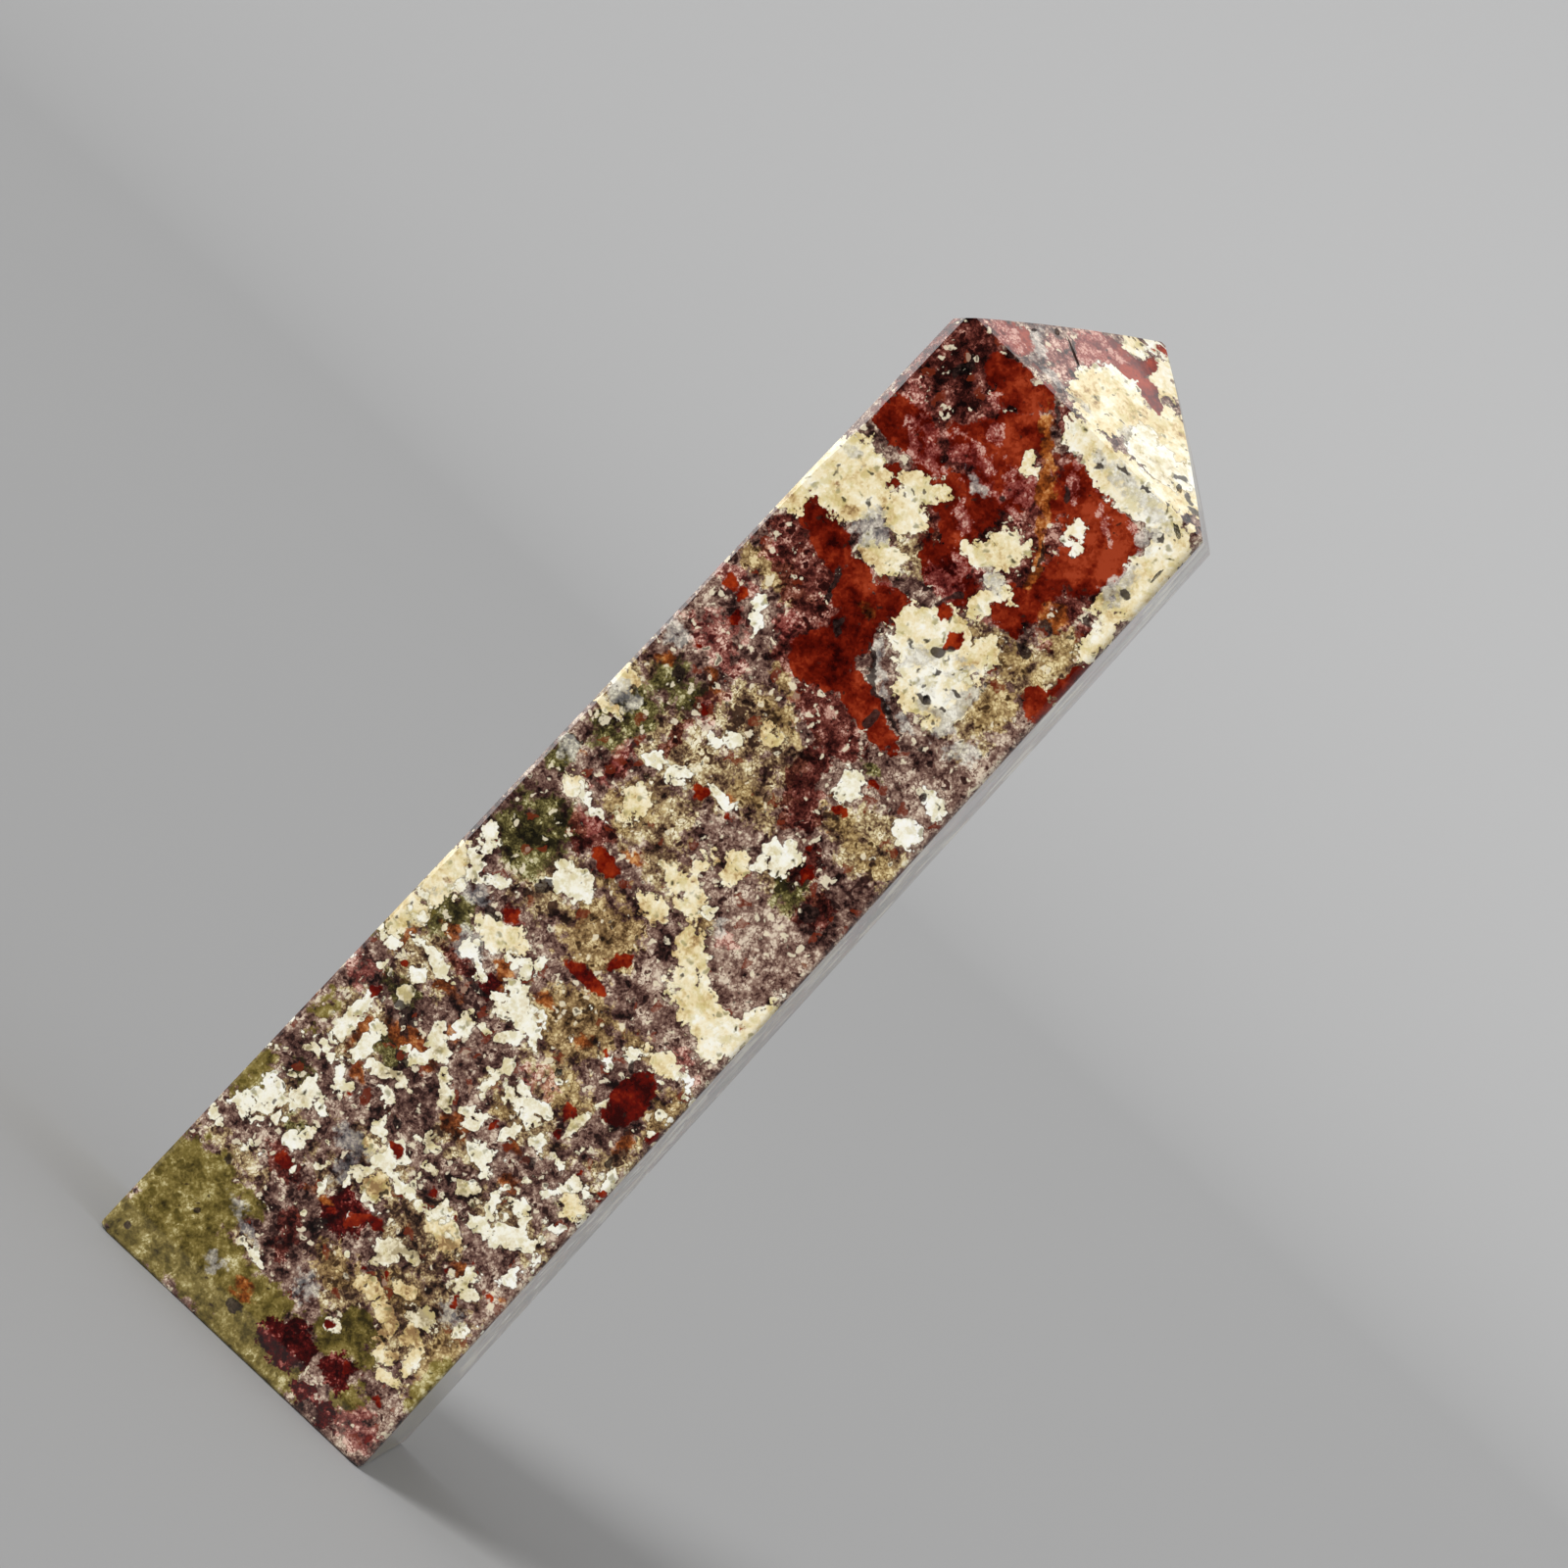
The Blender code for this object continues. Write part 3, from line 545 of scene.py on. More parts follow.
# Minerals in the rest of the stone: size of the clouds in millimetres, how much of the stone they fill,
# whether they lie in the high or the low parts of the noise, the heights where they are found, where the
# noise starts, and how far the clouds are pushed out of the front (all the way, where nothing is said)
wild = dict(
    crumb=dict(size=6.0, fill=0.46, high=False, heights=(2, 60), shift=(41, 8, 5)),
    rose=dict(size=3.4, fill=0.34, high=True, heights=(18, 60), shift=(4, 23, 50)),
    tan=dict(size=5.0, fill=0.45, high=False, heights=(12, 62), shift=(3, 8, 1)),
    maroon=dict(size=5.0, fill=0.46, high=True, heights=(18, 78), shift=(3, 8, 1)),
    green=dict(size=4.4, fill=0.41, high=False, heights=(8, 50), shift=(14, 2, 40)),
    cream=dict(size=4.4, fill=0.39, high=True, heights=(4, 84), shift=(14, 2, 40)),
    olive=dict(size=7.0, fill=0.60, high=False, heights=(-9, 9), shift=(8, 17, 26)),
    red=dict(size=7.0, fill=0.46, high=True, heights=(45, 84), shift=(8, 17, 26)),
    chalcedony=dict(size=2.8, fill=0.31, high=True, heights=(6, 84), shift=(50, 11, 3)),
    crimson=dict(size=2.8, fill=0.34, high=False, heights=(-9, 30), shift=(50, 11, 3)),
    redSpots=dict(size=1.3, fill=0.32, high=False, heights=(2, 60), shift=(70, 4, 19), front=0.5),
    flakes=dict(size=1.3, fill=0.38, high=True, heights=(6, 30), shift=(70, 4, 19), front=0.12),
    ochre=dict(size=1.8, fill=0.34, high=False, heights=(8, 66), shift=(2, 44, 61), front=0.6),
    black=dict(size=1.8, fill=0.30, high=True, heights=(-9, 70), shift=(2, 44, 61), front=0.35),
)

pattern = dict(
    shoulder=68.7,  # where the tip facets start
    tipStretch=0.757,  # a millimetre up the tip is longer along its slope
    handSet=(0.5, 1.6),  # depths over which the listed patches give way to clouds
    cloudSlope=3.2,  # turns a step of the noise into millimetres, times the size of the cloud
    bandFade=3,  # above and below the heights where a mineral is found
    bandPush=5,
    frontPush=6,
    patchDepth=0.7,  # depth of a patch, as a share of its half size
    patchSkin=0.4,  # and what is added to that, millimetres
    leanReach=0.9,  # soft edge of the pale and the shade
    grain=0.16,  # granules of the moss, millimetres
    clump=0.48,  # clumps, specks and the lobes along the edges of the white florets
    lobing=0.34,
    darkSeamAndShade=0.28,  # width of the dark seam around cream and white, partly their own dark outline and partly painted shade, and how dark it is
    darkSeamAndShadeCover=0.45,
    softness=0.13,  # roughness of the polished moss
    smoothGain=-0.05,  # and how much glossier the smooth minerals are
    undulation=1.6,  # soft waves that the polish left
)

# Wandering edges: millimetres across, how far they wander, octaves, and where the noise starts
wanders = dict(coarse=(1.1, 0.55, 2.0, (0, 0, 0)), fine=(0.35, 0.20, 1.0, (40, 3, 8)))

# Noises that all the minerals share: waves to a millimetre, octaves, roughness, and where each one starts
noises = dict(
    curd=(1.4, 4.0, 0.60, (11, 4, 9)),
    mottle=(0.7, 3.0, 0.60, (6, 18, 3)),
    other=(1.2, 4.0, 0.64, (30, 2, 14)),
    worms=(1.6, 2.0, 0.60, (9, 9, 40)),
)

# How much each noise counts, from a level to start with: in the tones, and in the two strays that break up
# the edges between minerals
mossMix = dict(level=-1.76, lean=0.20, curd=3.0, mottle=1.3, grain=0.24, clump=0.24)
smoothMix = dict(level=-1.07, lean=0.34, mottle=1.8, curd=1.1, grain=0.26)
strayMix = dict(
    first=dict(level=-2.38, other=4.4, grain=0.35),
    second=dict(level=2.02, curd=-4.4, grain=0.35),
)

# What darkens the moss: between which values of its noise, and the share of the tone that is left there
darkening = dict(
    gaps=dict(edge=(0.002, 0.030), left=0.45),  # winding lines between the curds
    pockets=dict(edge=(0.34, 0.41), left=0.20),
    rims=dict(edge=(0.30, 0.75), left=0.72),  # rims of the granules
)

# Layers from the bottom up: which stray breaks up the edge and how far it goes in millimetres, how soft the
# edge is, how much the layer covers, and the tone that picks its colours
layers = [
    ("crumb", "first", 1.60, 0.24, 0.90, "moss"),
    ("tan", "second", 1.00, 0.20, 0.85, "moss"),
    ("maroon", "first", 0.60, 0.08, 0.92, "moss"),
    ("green", "second", 0.64, 0.20, 0.90, "moss"),
    ("olive", "first", 0.80, 0.20, 0.94, "mixed"),
    ("red", "second", 0.32, 0.06, 1.00, "smooth"),
    ("rose", "second", 1.00, 0.18, 0.66, "moss"),
    ("crimson", "first", 0.50, 0.08, 1.00, "moss"),
    ("cream", "first", 0.40, 0.07, 1.00, "smooth"),
    ("chalcedony", "second", 0.60, 0.22, 0.70, "mixed"),
    ("ochre", "first", 0.36, 0.16, 0.92, "mixed"),
    ("flakes", "second", 0.28, 0.05, 1.00, "smooth"),
    ("redSpots", "first", 0.14, 0.06, 1.00, "smooth"),
    ("black", "second", 0.10, 0.06, 0.90, "moss"),
]
glossy = ("olive", "red", "crimson", "cream", "chalcedony", "flakes", "redSpots")
lobed = ("cream", "flakes")

# Specks: the share of the clumps that have one, its size in clumps, its edge, and how much it covers
specks = dict(
    stain=dict(share=0.46, size=0.58, edge=(-0.30, 0.02), cover=0.72),
    pale=dict(share=0.45, size=0.45, edge=(-0.06, 0.10), cover=0.80),
    dark=dict(share=0.42, size=0.32, edge=(-0.06, 0.08), cover=0.78),
)
rust = dict(edge=(0.965, 0.975), cover=0.70)
yellow = dict(edge=(0.48, 0.62), cover=0.50)

# Colours of the specks and touches
touches = dict(
    # The seam is partly the stone's own dark outline round its cream and white, partly painted shade that
    # gives them depth
    darkSeamAndShade=(46, 32, 26),
    stain=(134, 126, 82),
    yellow=(206, 190, 120),
    pale=(236, 224, 194),
    dark=(44, 28, 22),
    rust=(116, 42, 20),
    # the dark brown that the walls of the pits are darkened towards
    pitDarkening=(40, 28, 22),
)

# Colours of each mineral, from the darkest to the palest of its grain
tones = dict(
    mauve=[
        (0.0, 24, 13, 12), (0.2, 74, 47, 42), (0.5, 128, 98, 86),
        (0.75, 176, 150, 132), (1.0, 222, 204, 182),
    ],
    crumb=[
        (0.0, 32, 20, 15), (0.22, 96, 70, 52), (0.5, 168, 142, 100),
        (0.72, 218, 202, 154), (1.0, 246, 238, 210),
    ],
    tan=[
        (0.0, 36, 24, 13), (0.22, 92, 68, 40), (0.5, 146, 117, 73),
        (0.78, 190, 162, 108), (1.0, 226, 206, 152),
    ],
    maroon=[
        (0.0, 18, 5, 5), (0.3, 62, 18, 14), (0.6, 106, 44, 36),
        (0.85, 150, 92, 80), (1.0, 196, 150, 134),
    ],
    rose=[(0.0, 50, 10, 10), (0.35, 120, 46, 42), (0.7, 172, 98, 88), (1.0, 232, 188, 172)],
    green=[
        (0.0, 24, 22, 12), (0.3, 60, 56, 26), (0.6, 98, 92, 44),
        (0.85, 146, 138, 84), (1.0, 196, 190, 144),
    ],
    olive=[
        (0.0, 52, 44, 18), (0.3, 98, 85, 36), (0.6, 134, 118, 58),
        (0.85, 176, 162, 104), (1.0, 216, 206, 158),
    ],
    red=[(0.0, 40, 4, 3), (0.3, 80, 12, 4), (0.6, 112, 26, 10), (0.85, 144, 48, 22), (1.0, 162, 62, 34)],
    crimson=[(0.0, 22, 2, 3), (0.5, 66, 10, 9), (0.8, 100, 26, 22), (1.0, 164, 96, 86)],
    cream=[
        (0.0, 150, 118, 78), (0.15, 206, 176, 122), (0.4, 238, 220, 172),
        (0.7, 250, 240, 210), (1.0, 255, 252, 238),
    ],
    chalcedony=[(0.0, 66, 66, 70), (0.3, 130, 127, 126), (0.65, 190, 184, 172), (1.0, 236, 232, 218)],
    ochre=[(0.0, 34, 15, 6), (0.3, 96, 44, 16), (0.6, 158, 82, 30), (1.0, 214, 150, 84)],
    flakes=[(0.0, 176, 160, 124), (0.2, 230, 218, 184), (0.5, 250, 246, 226), (1.0, 255, 254, 248)],
    redSpots=[(0.0, 46, 4, 3), (0.4, 100, 14, 5), (1.0, 168, 56, 20)],
    black=[(0.0, 8, 5, 5), (1.0, 62, 46, 42)],
)


def patchGroup(name, spots):
    # Distance in millimetres to the nearest patch of the list, negative inside one. Three patches are
    # worked out at a time, one in each part of a vector. Turned ones come last.
    inputs = {"Across": "Vector", "Up": "Vector", "DepthSquared": "Vector"}
    tree, given = newGroup(name + "Patches", inputs, {"Distance": "Float"})
    ordered = sorted([(*spot, 0)[:5] for spot in spots], key=lambda spot: spot[4] != 0)
    ordered += ordered[-1:] * (-len(ordered) % 3)
    nearest = None
    for number in range(0, len(ordered), 3):
        three = ordered[number:number + 3]
        scale = [math.sqrt(wide * tall) / 2 for _, _, wide, tall, _ in three]
        deep = [s / (pattern["patchSkin"] + pattern["patchDepth"] * 2 * s) ** 2 for s in scale]
        reach = vectorMaths(tree, "MULTIPLY_ADD", given[2], deep, [-s for s in scale])
        for axis in (0, 1):
            alongX, alongUp, offset = [], [], []
            for (across, up, wide, tall, degrees), s in zip(three, scale):
                turn = math.radians(degrees)
                size = math.sqrt(s) / (tall if axis else wide)
                parts = (-math.sin(turn), math.cos(turn)) if axis else (math.cos(turn), math.sin(turn))
                alongX.append(parts[0] * size)
                alongUp.append(parts[1] * size)
                offset.append(-(parts[0] * across + parts[1] * up) * size)
            side = vectorMaths(tree, "MULTIPLY_ADD", given[axis], alongUp if axis else alongX, offset)
            if any(spot[4] for spot in three):
                side = vectorMaths(tree, "MULTIPLY_ADD", given[1 - axis], alongX if axis else alongUp, side)
            reach = vectorMaths(tree, "MULTIPLY_ADD", side, side, reach)
        nearest = reach if nearest is None else vectorMaths(tree, "MINIMUM", nearest, reach)
    parts = place(tree, "ShaderNodeSeparateXYZ", {0: nearest}).outputs
    giveOut(tree, Distance=maths(tree, "MINIMUM", maths(tree, "MINIMUM", parts[0], parts[1]), parts[2]))
    return tree


def wildField(tree, at, height, nearFront, spec, clouds):
    # The same kind of distance for clouds that fill the stone away from its front. Two minerals share a
    # noise where one takes its high parts and the other its low parts.
    key = (spec["size"], spec["shift"])
    if key not in clouds:
        clouds[key] = cloud(tree, at, 1 / spec["size"], 1.0, 0.5, spec["shift"]).outputs[0]
    slope = pattern["cloudSlope"] * spec["size"] * (-1 if spec["high"] else 1)
    level = 1 - spec["fill"] if spec["high"] else spec["fill"]
    reach = maths(tree, "MULTIPLY_ADD", clouds[key], slope, -slope * level)
    low, high = spec["heights"]
    fade, push = pattern["bandFade"], pattern["bandPush"]
    above = between(tree, height, high - fade, high + fade, 0, push)
    below = between(tree, height, low - fade, low + fade, push, 0)
    away = spec.get("front", pattern["frontPush"])
    kept = maths(tree, "MULTIPLY_ADD", nearFront, away, maths(tree, "ADD", above, below))
    return maths(tree, "ADD", reach, kept)


def speckField(tree, fromMiddle, pick, speck):
    # Distance to scattered specks, in cells, of which only a share are there
    radius = between(tree, pick, 1 - speck["share"], 1.0, 0.0, speck["size"])
    return maths(tree, "SUBTRACT", fromMiddle, maths(tree, "SUBTRACT", radius, 0.08))


def touched(tree, colour, share, name):
    return mixColour(tree, share, colour, paint(*touches[name]))


def summed(tree, mix, parts):
    total = mix["level"]
    for name, amount in mix.items():
        if name != "level":
            total = maths(tree, "MULTIPLY_ADD", parts[name], amount, total)
    return total


def frontPlace(tree, at):
    # Across, up with the tip facet unfolded, and deep behind the front face or the front tip facet
    x, y, z = place(tree, "ShaderNodeSeparateXYZ", {0: at}).outputs
    leaning = maths(tree, "MULTIPLY_ADD", z, -stone["taper"], stone["baseHalf"] / mm)
    faceDepth = maths(tree, "ADD", y, leaning)
    tipPoint, tipNormal = facetPlane("front", 0.5)
    tipReach = vectorMaths(tree, "DOT_PRODUCT", at, tipNormal)
    tipDepth = maths(tree, "SUBTRACT", tipNormal.dot(tipPoint) / mm, tipReach)
    depth = maths(tree, "MINIMUM", faceDepth, tipDepth)
    overShoulder = maths(tree, "MAXIMUM", maths(tree, "SUBTRACT", z, pattern["shoulder"]), 0.0)
    height = maths(tree, "MULTIPLY_ADD", overShoulder, pattern["tipStretch"], z)
    return x, height, depth


def wandered(tree, at, x, height, depth):
    offsets = []
    for size, amount, detail, shift in wanders.values():
        drift = cloud(tree, at, 1 / size, detail, 0.55, shift).outputs["Color"]
        centred = vectorMaths(tree, "SUBTRACT", drift, (0.5, 0.5, 0.5))
        offsets.append(vectorMaths(tree, "SCALE", centred, 2 * amount))
    spread = place(tree, "ShaderNodeCombineXYZ", {0: x, 1: height, 2: depth}).outputs[0]
    for offset in offsets:
        spread = vectorMaths(tree, "ADD", spread, offset)
    return spread


def patchSides(tree, spread):
    # What every list of patches needs: across, up, and the depth squared, each three times over
    sides = place(tree, "ShaderNodeSeparateXYZ", {0: spread}).outputs
    across, up = (threefold(tree, side) for side in sides[:2])
    return across, up, threefold(tree, maths(tree, "MULTIPLY", sides[2], sides[2]))


def patchField(tree, name, sides):
    item = place(tree, "ShaderNodeGroup", node_tree=patchGroup(name, patches[name]))
    for number, socket in enumerate(sides):
        tree.links.new(socket, item.inputs[number])
    return item.outputs[0]


def sharedNoises(tree, at, spread):
    # Granules, clumps and clouds that all the minerals share. Each granule and clump has three picks, which
    # are random shares of its own.
    shared = {}
    for name, where in (("grain", at), ("clump", spread)):
        spots = cells(tree, where, 1 / pattern[name])
        picks = place(tree, "ShaderNodeSeparateColor", {0: spots.outputs["Color"]}).outputs
        shared[name] = picks[0]
        shared[name + "Picks"] = picks
        shared[name + "Middle"] = spots.outputs["Distance"]
    for name, spec in noises.items():
        shared[name] = cloud(tree, at, *spec).outputs[0]
    return shared


def tonesOf(tree, shared, lean):
    # Tone of the moss: curdled, with granules and clumps that each have their own, and dark gaps and pockets
    offMiddle = maths(tree, "ABSOLUTE", maths(tree, "SUBTRACT", shared["worms"], 0.5))
    gaps = between(tree, offMiddle, *darkening["gaps"]["edge"], darkening["gaps"]["left"], 1.0)
    pockets = maths(tree, "MULTIPLY_ADD", lean, 0.06, shared["worms"])
    pockets = between(tree, pockets, *darkening["pockets"]["edge"], darkening["pockets"]["left"], 1.0)
    parts = dict(shared, lean=lean)
    body = summed(tree, mossMix, parts)
    rims = between(tree, shared["grainMiddle"], *darkening["rims"]["edge"], 1.0, darkening["rims"]["left"])
    rimmed = maths(tree, "MULTIPLY", body, rims)
    moss = maths(tree, "MULTIPLY", rimmed, maths(tree, "MULTIPLY", gaps, pockets))

    # Tone of the smooth minerals: soft clouds with a little fine curdling; and one half way to the moss
    smooth = summed(tree, smoothMix, parts)
    mixed = maths(tree, "MULTIPLY", maths(tree, "ADD", moss, smooth), 0.5)
    return dict(moss=moss, smooth=smooth, mixed=mixed)


def stained(tree, colour, white, shared):
    # Stains and a yellow tinge in the cream and white
    stain = speckField(tree, shared["clumpMiddle"], shared["clumpPicks"][2], specks["stain"])
    stain = between(tree, stain, *specks["stain"]["edge"], specks["stain"]["cover"], 0.0)
    colour = touched(tree, colour, maths(tree, "MULTIPLY", stain, white), "stain")
    tinge = between(tree, shared["other"], *yellow["edge"], 0.0, yellow["cover"])
    return touched(tree, colour, maths(tree, "MULTIPLY", tinge, white), "yellow")


def layered(tree, at, height, nearFront, sides, shared, toneNames):
    # The minerals laid over the mauve moss one by one; also the share of the smooth ones
    strays = {}
    for (name, mix), grains in zip(strayMix.items(), shared["grainPicks"][1:3]):
        strays[name] = summed(tree, mix, dict(shared, grain=grains))
    lobe = pattern["lobing"]
    lobing = maths(tree, "MULTIPLY_ADD", shared["clumpMiddle"], 2 * lobe, -1.1 * lobe)
    colour = ramp(tree, toneNames["moss"], tones["mauve"])
    smoothShare = creamShare = None
    clouds = {}
    for name, stray, amount, soft, cover, tone in layers:
        elsewhere = wildField(tree, at, height, nearFront, wild[name], clouds)
        field = maths(tree, "MINIMUM", patchField(tree, name, sides), elsewhere)
        field = maths(tree, "MULTIPLY_ADD", strays[stray], amount, field)
        if name in lobed:
            field = maths(tree, "ADD", field, lobing)
            # A dark seam just outside the cream and white: partly their own dark outline, partly painted
            # shade that gives them depth
            darkSeamAndShade = between(tree, field, 0.0, pattern["darkSeamAndShade"], pattern["darkSeamAndShadeCover"], 0.0)
            colour = touched(tree, colour, darkSeamAndShade, "darkSeamAndShade")
        share = between(tree, field, -soft, soft, cover, 0.0)
        colour = mixColour(tree, share, colour, ramp(tree, toneNames[tone], tones[name]))
        if name in glossy:
            smoothShare = share if smoothShare is None else maths(tree, "MAXIMUM", smoothShare, share)
        if name == "cream":
            creamShare = share
        if name == "flakes":
            colour = stained(tree, colour, maths(tree, "MAXIMUM", creamShare, share), shared)
    return colour, smoothShare


def speckled(tree, colour, smoothShare, shared):
    # Pale and dark specks through the moss, and a few clumps of rust
    middle, picks = shared["clumpMiddle"], shared["clumpPicks"]
    pale = speckField(tree, middle, picks[0], specks["pale"])
    scarce = maths(tree, "MULTIPLY_ADD", shared["other"], -1.6, 0.8)
    pale = maths(tree, "ADD", scarce, maths(tree, "ADD", pale, smoothShare))
    pale = between(tree, pale, *specks["pale"]["edge"], specks["pale"]["cover"], 0.0)
    colour = touched(tree, colour, pale, "pale")
    dark = speckField(tree, middle, picks[1], specks["dark"])
    dark = between(tree, dark, *specks["dark"]["edge"], specks["dark"]["cover"], 0.0)
    colour = touched(tree, colour, dark, "dark")
    rusty = maths(tree, "SUBTRACT", picks[2], smoothShare)
    rusty = between(tree, rusty, *rust["edge"], 0.0, rust["cover"])
    return touched(tree, colour, rusty, "rust")


def agateGroup():
    tree, _ = newGroup("mossAgatePattern", {}, {"Colour": "Color", "Softness": "Float"})
    at = millimetres(tree)
    x, height, depth = frontPlace(tree, at)
    nearFront = between(tree, depth, *pattern["handSet"], 1.0, 0.0)
    spread = wandered(tree, at, x, height, depth)
    sides = patchSides(tree, spread)
    shared = sharedNoises(tree, at, spread)
    reach = pattern["leanReach"]
    pale, shade = (
        between(tree, patchField(tree, name, sides), -reach, reach, 1.0, 0.0) for name in ("pale", "shade")
    )
    toneNames = tonesOf(tree, shared, maths(tree, "SUBTRACT", pale, shade))
    colour, smoothShare = layered(tree, at, height, nearFront, sides, shared, toneNames)
    colour = speckled(tree, colour, smoothShare, shared)
    softness = maths(tree, "MULTIPLY_ADD", smoothShare, pattern["smoothGain"], pattern["softness"])
    giveOut(tree, Colour=colour, Softness=softness)
    return tree


finish = dict(
    ior=1.54,
    waveRelief=0.03 * mm,
    rawCrumbs=7.0,  # crumbs to a millimetre on the walls of the pits
    rawRelief=0.06 * mm,
    rawRoughness=0.62,
)


def polishedMaterial(group):
    material, tree, shader = newMaterial("polishedMossAgate")
    stonePattern = place(tree, "ShaderNodeGroup", node_tree=group)
    tree.links.new(stonePattern.outputs["Colour"], shader.inputs["Base Color"])
    tree.links.new(stonePattern.outputs["Softness"], shader.inputs["Roughness"])
    shader.inputs["IOR"].default_value = finish["ior"]
    at = millimetres(tree)
    waves = cloud(tree, at, 1 / pattern["undulation"], 1.0).outputs[0]
    relief = {"Strength": 0.25, "Distance": finish["waveRelief"], "Height": waves}
    bump = place(tree, "ShaderNodeBump", relief)
    tree.links.new(bump.outputs[0], shader.inputs["Normal"])
    return material


def rawMaterial(group):
    material, tree, shader = newMaterial("rawMossAgate")
    stonePattern = place(tree, "ShaderNodeGroup", node_tree=group)
    at = millimetres(tree)
    # The walls of the pits are darkened between about half and nine tenths of the way towards a dark brown,
    # following a crumbly noise
    crumbs = cloud(tree, at, finish["rawCrumbs"], 3.0, 0.6).outputs[0]
    pitDarkening = between(tree, crumbs, 0.35, 0.65, 0.55, 0.9)
    darkenedPitColour = mixColour(tree, pitDarkening, stonePattern.outputs["Colour"], paint(*touches["pitDarkening"]))
    tree.links.new(darkenedPitColour, shader.inputs["Base Color"])
    shader.inputs["Roughness"].default_value = finish["rawRoughness"]
    shader.inputs["IOR"].default_value = finish["ior"]
    relief = {"Strength": 0.8, "Distance": finish["rawRelief"], "Height": crumbs}
    bump = place(tree, "ShaderNodeBump", relief)
    tree.links.new(bump.outputs[0], shader.inputs["Normal"])
    return material


def makeStone():
    agate = agateGroup()
    polished = polishedMaterial(agate)
    raw = rawMaterial(agate)
    blank = newObject("stoneBlank", bodyMesh(), polished)
    cutter = newObject("pitCutters", pitCutters(), raw)
    cut = blank.modifiers.new("pits", "BOOLEAN")
    cut.operation = "DIFFERENCE"
    cut.solver = "EXACT"
    cut.material_mode = "TRANSFER"
    cut.object = cutter
    seen = bpy.context.evaluated_depsgraph_get()
    mesh = bpy.data.meshes.new_from_object(blank.evaluated_get(seen))
    piece = bpy.data.objects.new("polishedTower", mesh)
    bpy.context.scene.collection.objects.link(piece)
    bpy.data.objects.remove(blank, do_unlink=True)
    bpy.data.objects.remove(cutter, do_unlink=True)
    for face in mesh.polygons:
        face.use_smooth = True
    mesh.set_sharp_from_angle(angle=math.radians(stone["sharpAngle"]))
    weighted = piece.modifiers.new("evenShading", "WEIGHTED_NORMAL")
    weighted.mode = "FACE_AREA"
    weighted.keep_sharp = True
    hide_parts("tower")
    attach(piece, "root")


makeStone()
print("stone made")


# Studio: a pale sweep of a floor under an open sky of soft light, a soft key, four cards that only show as
# glints, and a black flag

studio = dict(
    floorColour=0.46,
    flatRadius=1.2,
    sweepRise=0.5,  # low enough for the key to shine over
    sky=0.56,
    keyStrength=2.35,
    keyFrom=Vector((-0.50, -0.76, 0.41)),
    keySpread=20,  # degrees across, as seen from the stone
    leftCard=dict(away=Vector((-1, 0.06, 0.02)), distance=0.5, size=(0.12, 0.26), power=0.35),
    topCard=dict(away=Vector((-0.26, 0.32, 0.94)), distance=0.6, size=(0.26, 0.34), power=0.42),
    sideCard=dict(away=Vector((0.70, 0, 0.72)), distance=0.6, size=(0.30, 0.20), power=0.45),
    backCard=dict(away=Vector((0.25, 0.70, 0.62)), distance=0.6, size=(0.30, 0.20), power=0.45),
    flagHalf=0.30,
    flagUpright=(0, -0.62, 0.30),
    flagLying=(0, -0.315, 0.0015),
)


def makeFloor():
    bm = bmesh.new()
    bmesh.ops.create_circle(bm, cap_ends=True, segments=96, radius=studio["flatRadius"])
    edges = [edge for edge in bm.edges if edge.is_boundary]
    turns = 16
    for step in range(turns):
        made = bmesh.ops.extrude_edge_only(bm, edges=edges)["geom"]
        edges = [item for item in made if isinstance(item, bmesh.types.BMEdge)]
        angle = (step + 1) / turns * math.pi / 2
        radius = studio["flatRadius"] + studio["sweepRise"] * math.sin(angle)
        for vert in [item for item in made if isinstance(item, bmesh.types.BMVert)]:
            away = Vector((vert.co.x, vert.co.y, 0)).normalized() * radius
            vert.co = away + Vector((0, 0, studio["sweepRise"] * (1 - math.cos(angle))))
    bmesh.ops.recalc_face_normals(bm, faces=bm.faces)
    if max(bm.faces, key=lambda face: face.calc_area()).normal.z < 0:
        bmesh.ops.reverse_faces(bm, faces=bm.faces)
    material, tree, shader = newMaterial("paleFloor")
    at = place(tree, "ShaderNodeTexCoord").outputs["Object"]
    tone = cloud(tree, at, 3.0).outputs[0]
    level = studio["floorColour"]
    darker = (level * 0.98, level * 0.985, level * 0.99, 1)
    pale = mixColour(tree, tone, darker, (level, level * 1.005, level * 1.01, 1))
    tree.links.new(pale, shader.inputs["Base Color"])
    shader.inputs["Roughness"].default_value = 0.9
    shader.inputs["Specular IOR Level"].default_value = 0.0  # plain paper, with no gloss at all
    floor = newObject("floor", bm, material)
    for face in floor.data.polygons:
        face.use_smooth = True


def placeLight(name, lamp, away, distance, aim):
    obj = bpy.data.objects.new(name, lamp)
    bpy.context.scene.collection.objects.link(obj)
    obj.location = aim + away.normalized() * distance
    obj.rotation_euler = (-away).to_track_quat("-Z", "Y").to_euler()
    return obj


def makeKey():
    lamp = bpy.data.lights.new("key", "SUN")
    lamp.energy = studio["keyStrength"]
    lamp.angle = math.radians(studio["keySpread"])
    placeLight("key", lamp, studio["keyFrom"], 2, Vector())


def makeCard(name, aim):
    # A card that lights nothing and only shows as a glint on the polish
    card = studio[name]
    lamp = bpy.data.lights.new(name, "AREA")
    lamp.shape = "RECTANGLE"
    lamp.size, lamp.size_y = card["size"]
    lamp.energy = card["power"]
    obj = placeLight(name, lamp, card["away"], card["distance"], aim)
    obj.visible_diffuse = False
    obj.visible_camera = False


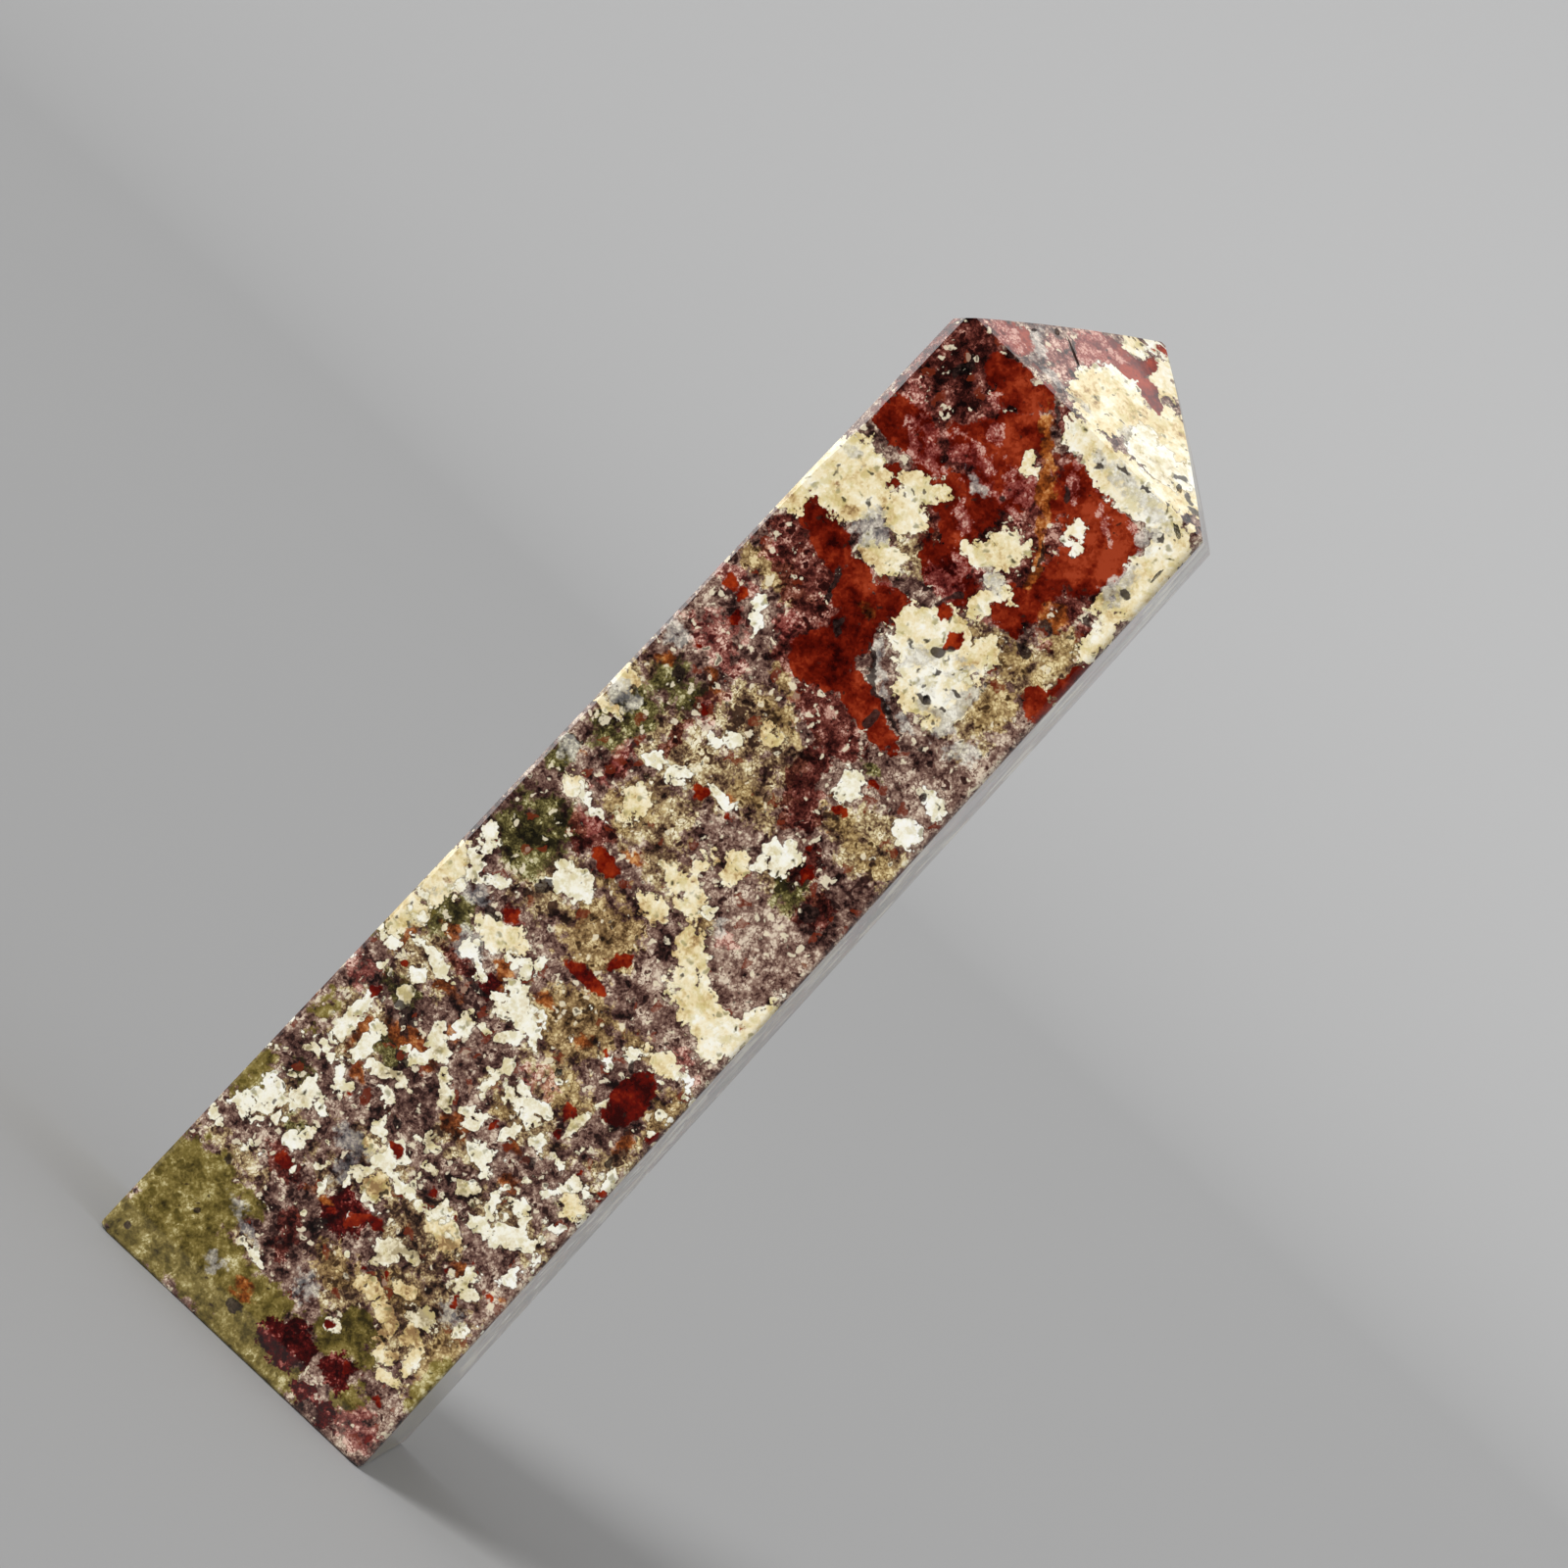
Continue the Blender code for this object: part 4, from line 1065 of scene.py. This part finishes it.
def blackFlag():
    # Keeps the polished front from mirroring the sky and the floor, seen only in reflections
    bm = bmesh.new()
    upright = Matrix.Translation(studio["flagUpright"]) @ Matrix.Rotation(math.radians(90), 4, "X")
    lying = Matrix.Translation(studio["flagLying"])
    for spot in (upright, lying):
        sheet = bmesh.ops.create_grid(bm, x_segments=1, y_segments=1, size=studio["flagHalf"])["verts"]
        bmesh.ops.transform(bm, matrix=spot, verts=sheet)
    material, tree, shader = newMaterial("blackFlag")
    at = place(tree, "ShaderNodeTexCoord").outputs["Object"]
    weave = cloud(tree, at, 90.0, 2.0).outputs[0]
    black = mixColour(tree, weave, (0.002, 0.002, 0.002, 1), (0.006, 0.006, 0.006, 1))
    tree.links.new(black, shader.inputs["Base Color"])
    shader.inputs["Roughness"].default_value = 1.0
    flag = newObject("flag", bm, material)
    flag.visible_camera = False
    flag.visible_diffuse = False
    flag.visible_shadow = False


def makeWorld():
    world = bpy.data.worlds.new("studio")
    bpy.context.scene.world = world
    world.use_nodes = True
    world.node_tree.nodes["Background"].inputs["Color"].default_value = (1.0, 0.99, 0.98, 1)
    world.node_tree.nodes["Background"].inputs["Strength"].default_value = studio["sky"]


makeFloor()
blackFlag()
makeWorld()
makeKey()
makeCard("leftCard", Vector((0, 0, 60 * mm)))
for cardName in ("topCard", "sideCard", "backCard"):
    makeCard(cardName, Vector((0, 0, stone["height"])))
print("studio made")


# Camera: nearly level with the stone and rolled, so that the stone leans across the frame

view = dict(
    aim=Vector((0.773, 0, 42.783)) * mm,
    distance=0.39977,
    yaw=3.69,
    pitch=1.91,
    roll=42.78,
    lens=165.06,
)


def makeCamera():
    data = bpy.data.cameras.new("camera")
    data.lens = view["lens"]
    data.sensor_width = 36
    data.clip_start = 0.01
    camera = bpy.data.objects.new("camera", data)
    bpy.context.scene.collection.objects.link(camera)
    facing = Matrix()
    for angle, axis in ((view["yaw"], "Z"), (90 - view["pitch"], "X"), (view["roll"], "Z")):
        facing = facing @ Matrix.Rotation(math.radians(angle), 4, axis)
    ahead = facing @ Vector((0, 0, -1))
    camera.matrix_world = Matrix.Translation(view["aim"] - ahead * view["distance"]) @ facing
    bpy.context.scene.camera = camera


makeCamera()
bpy.context.scene.view_settings.view_transform = "Standard"
print("camera set")
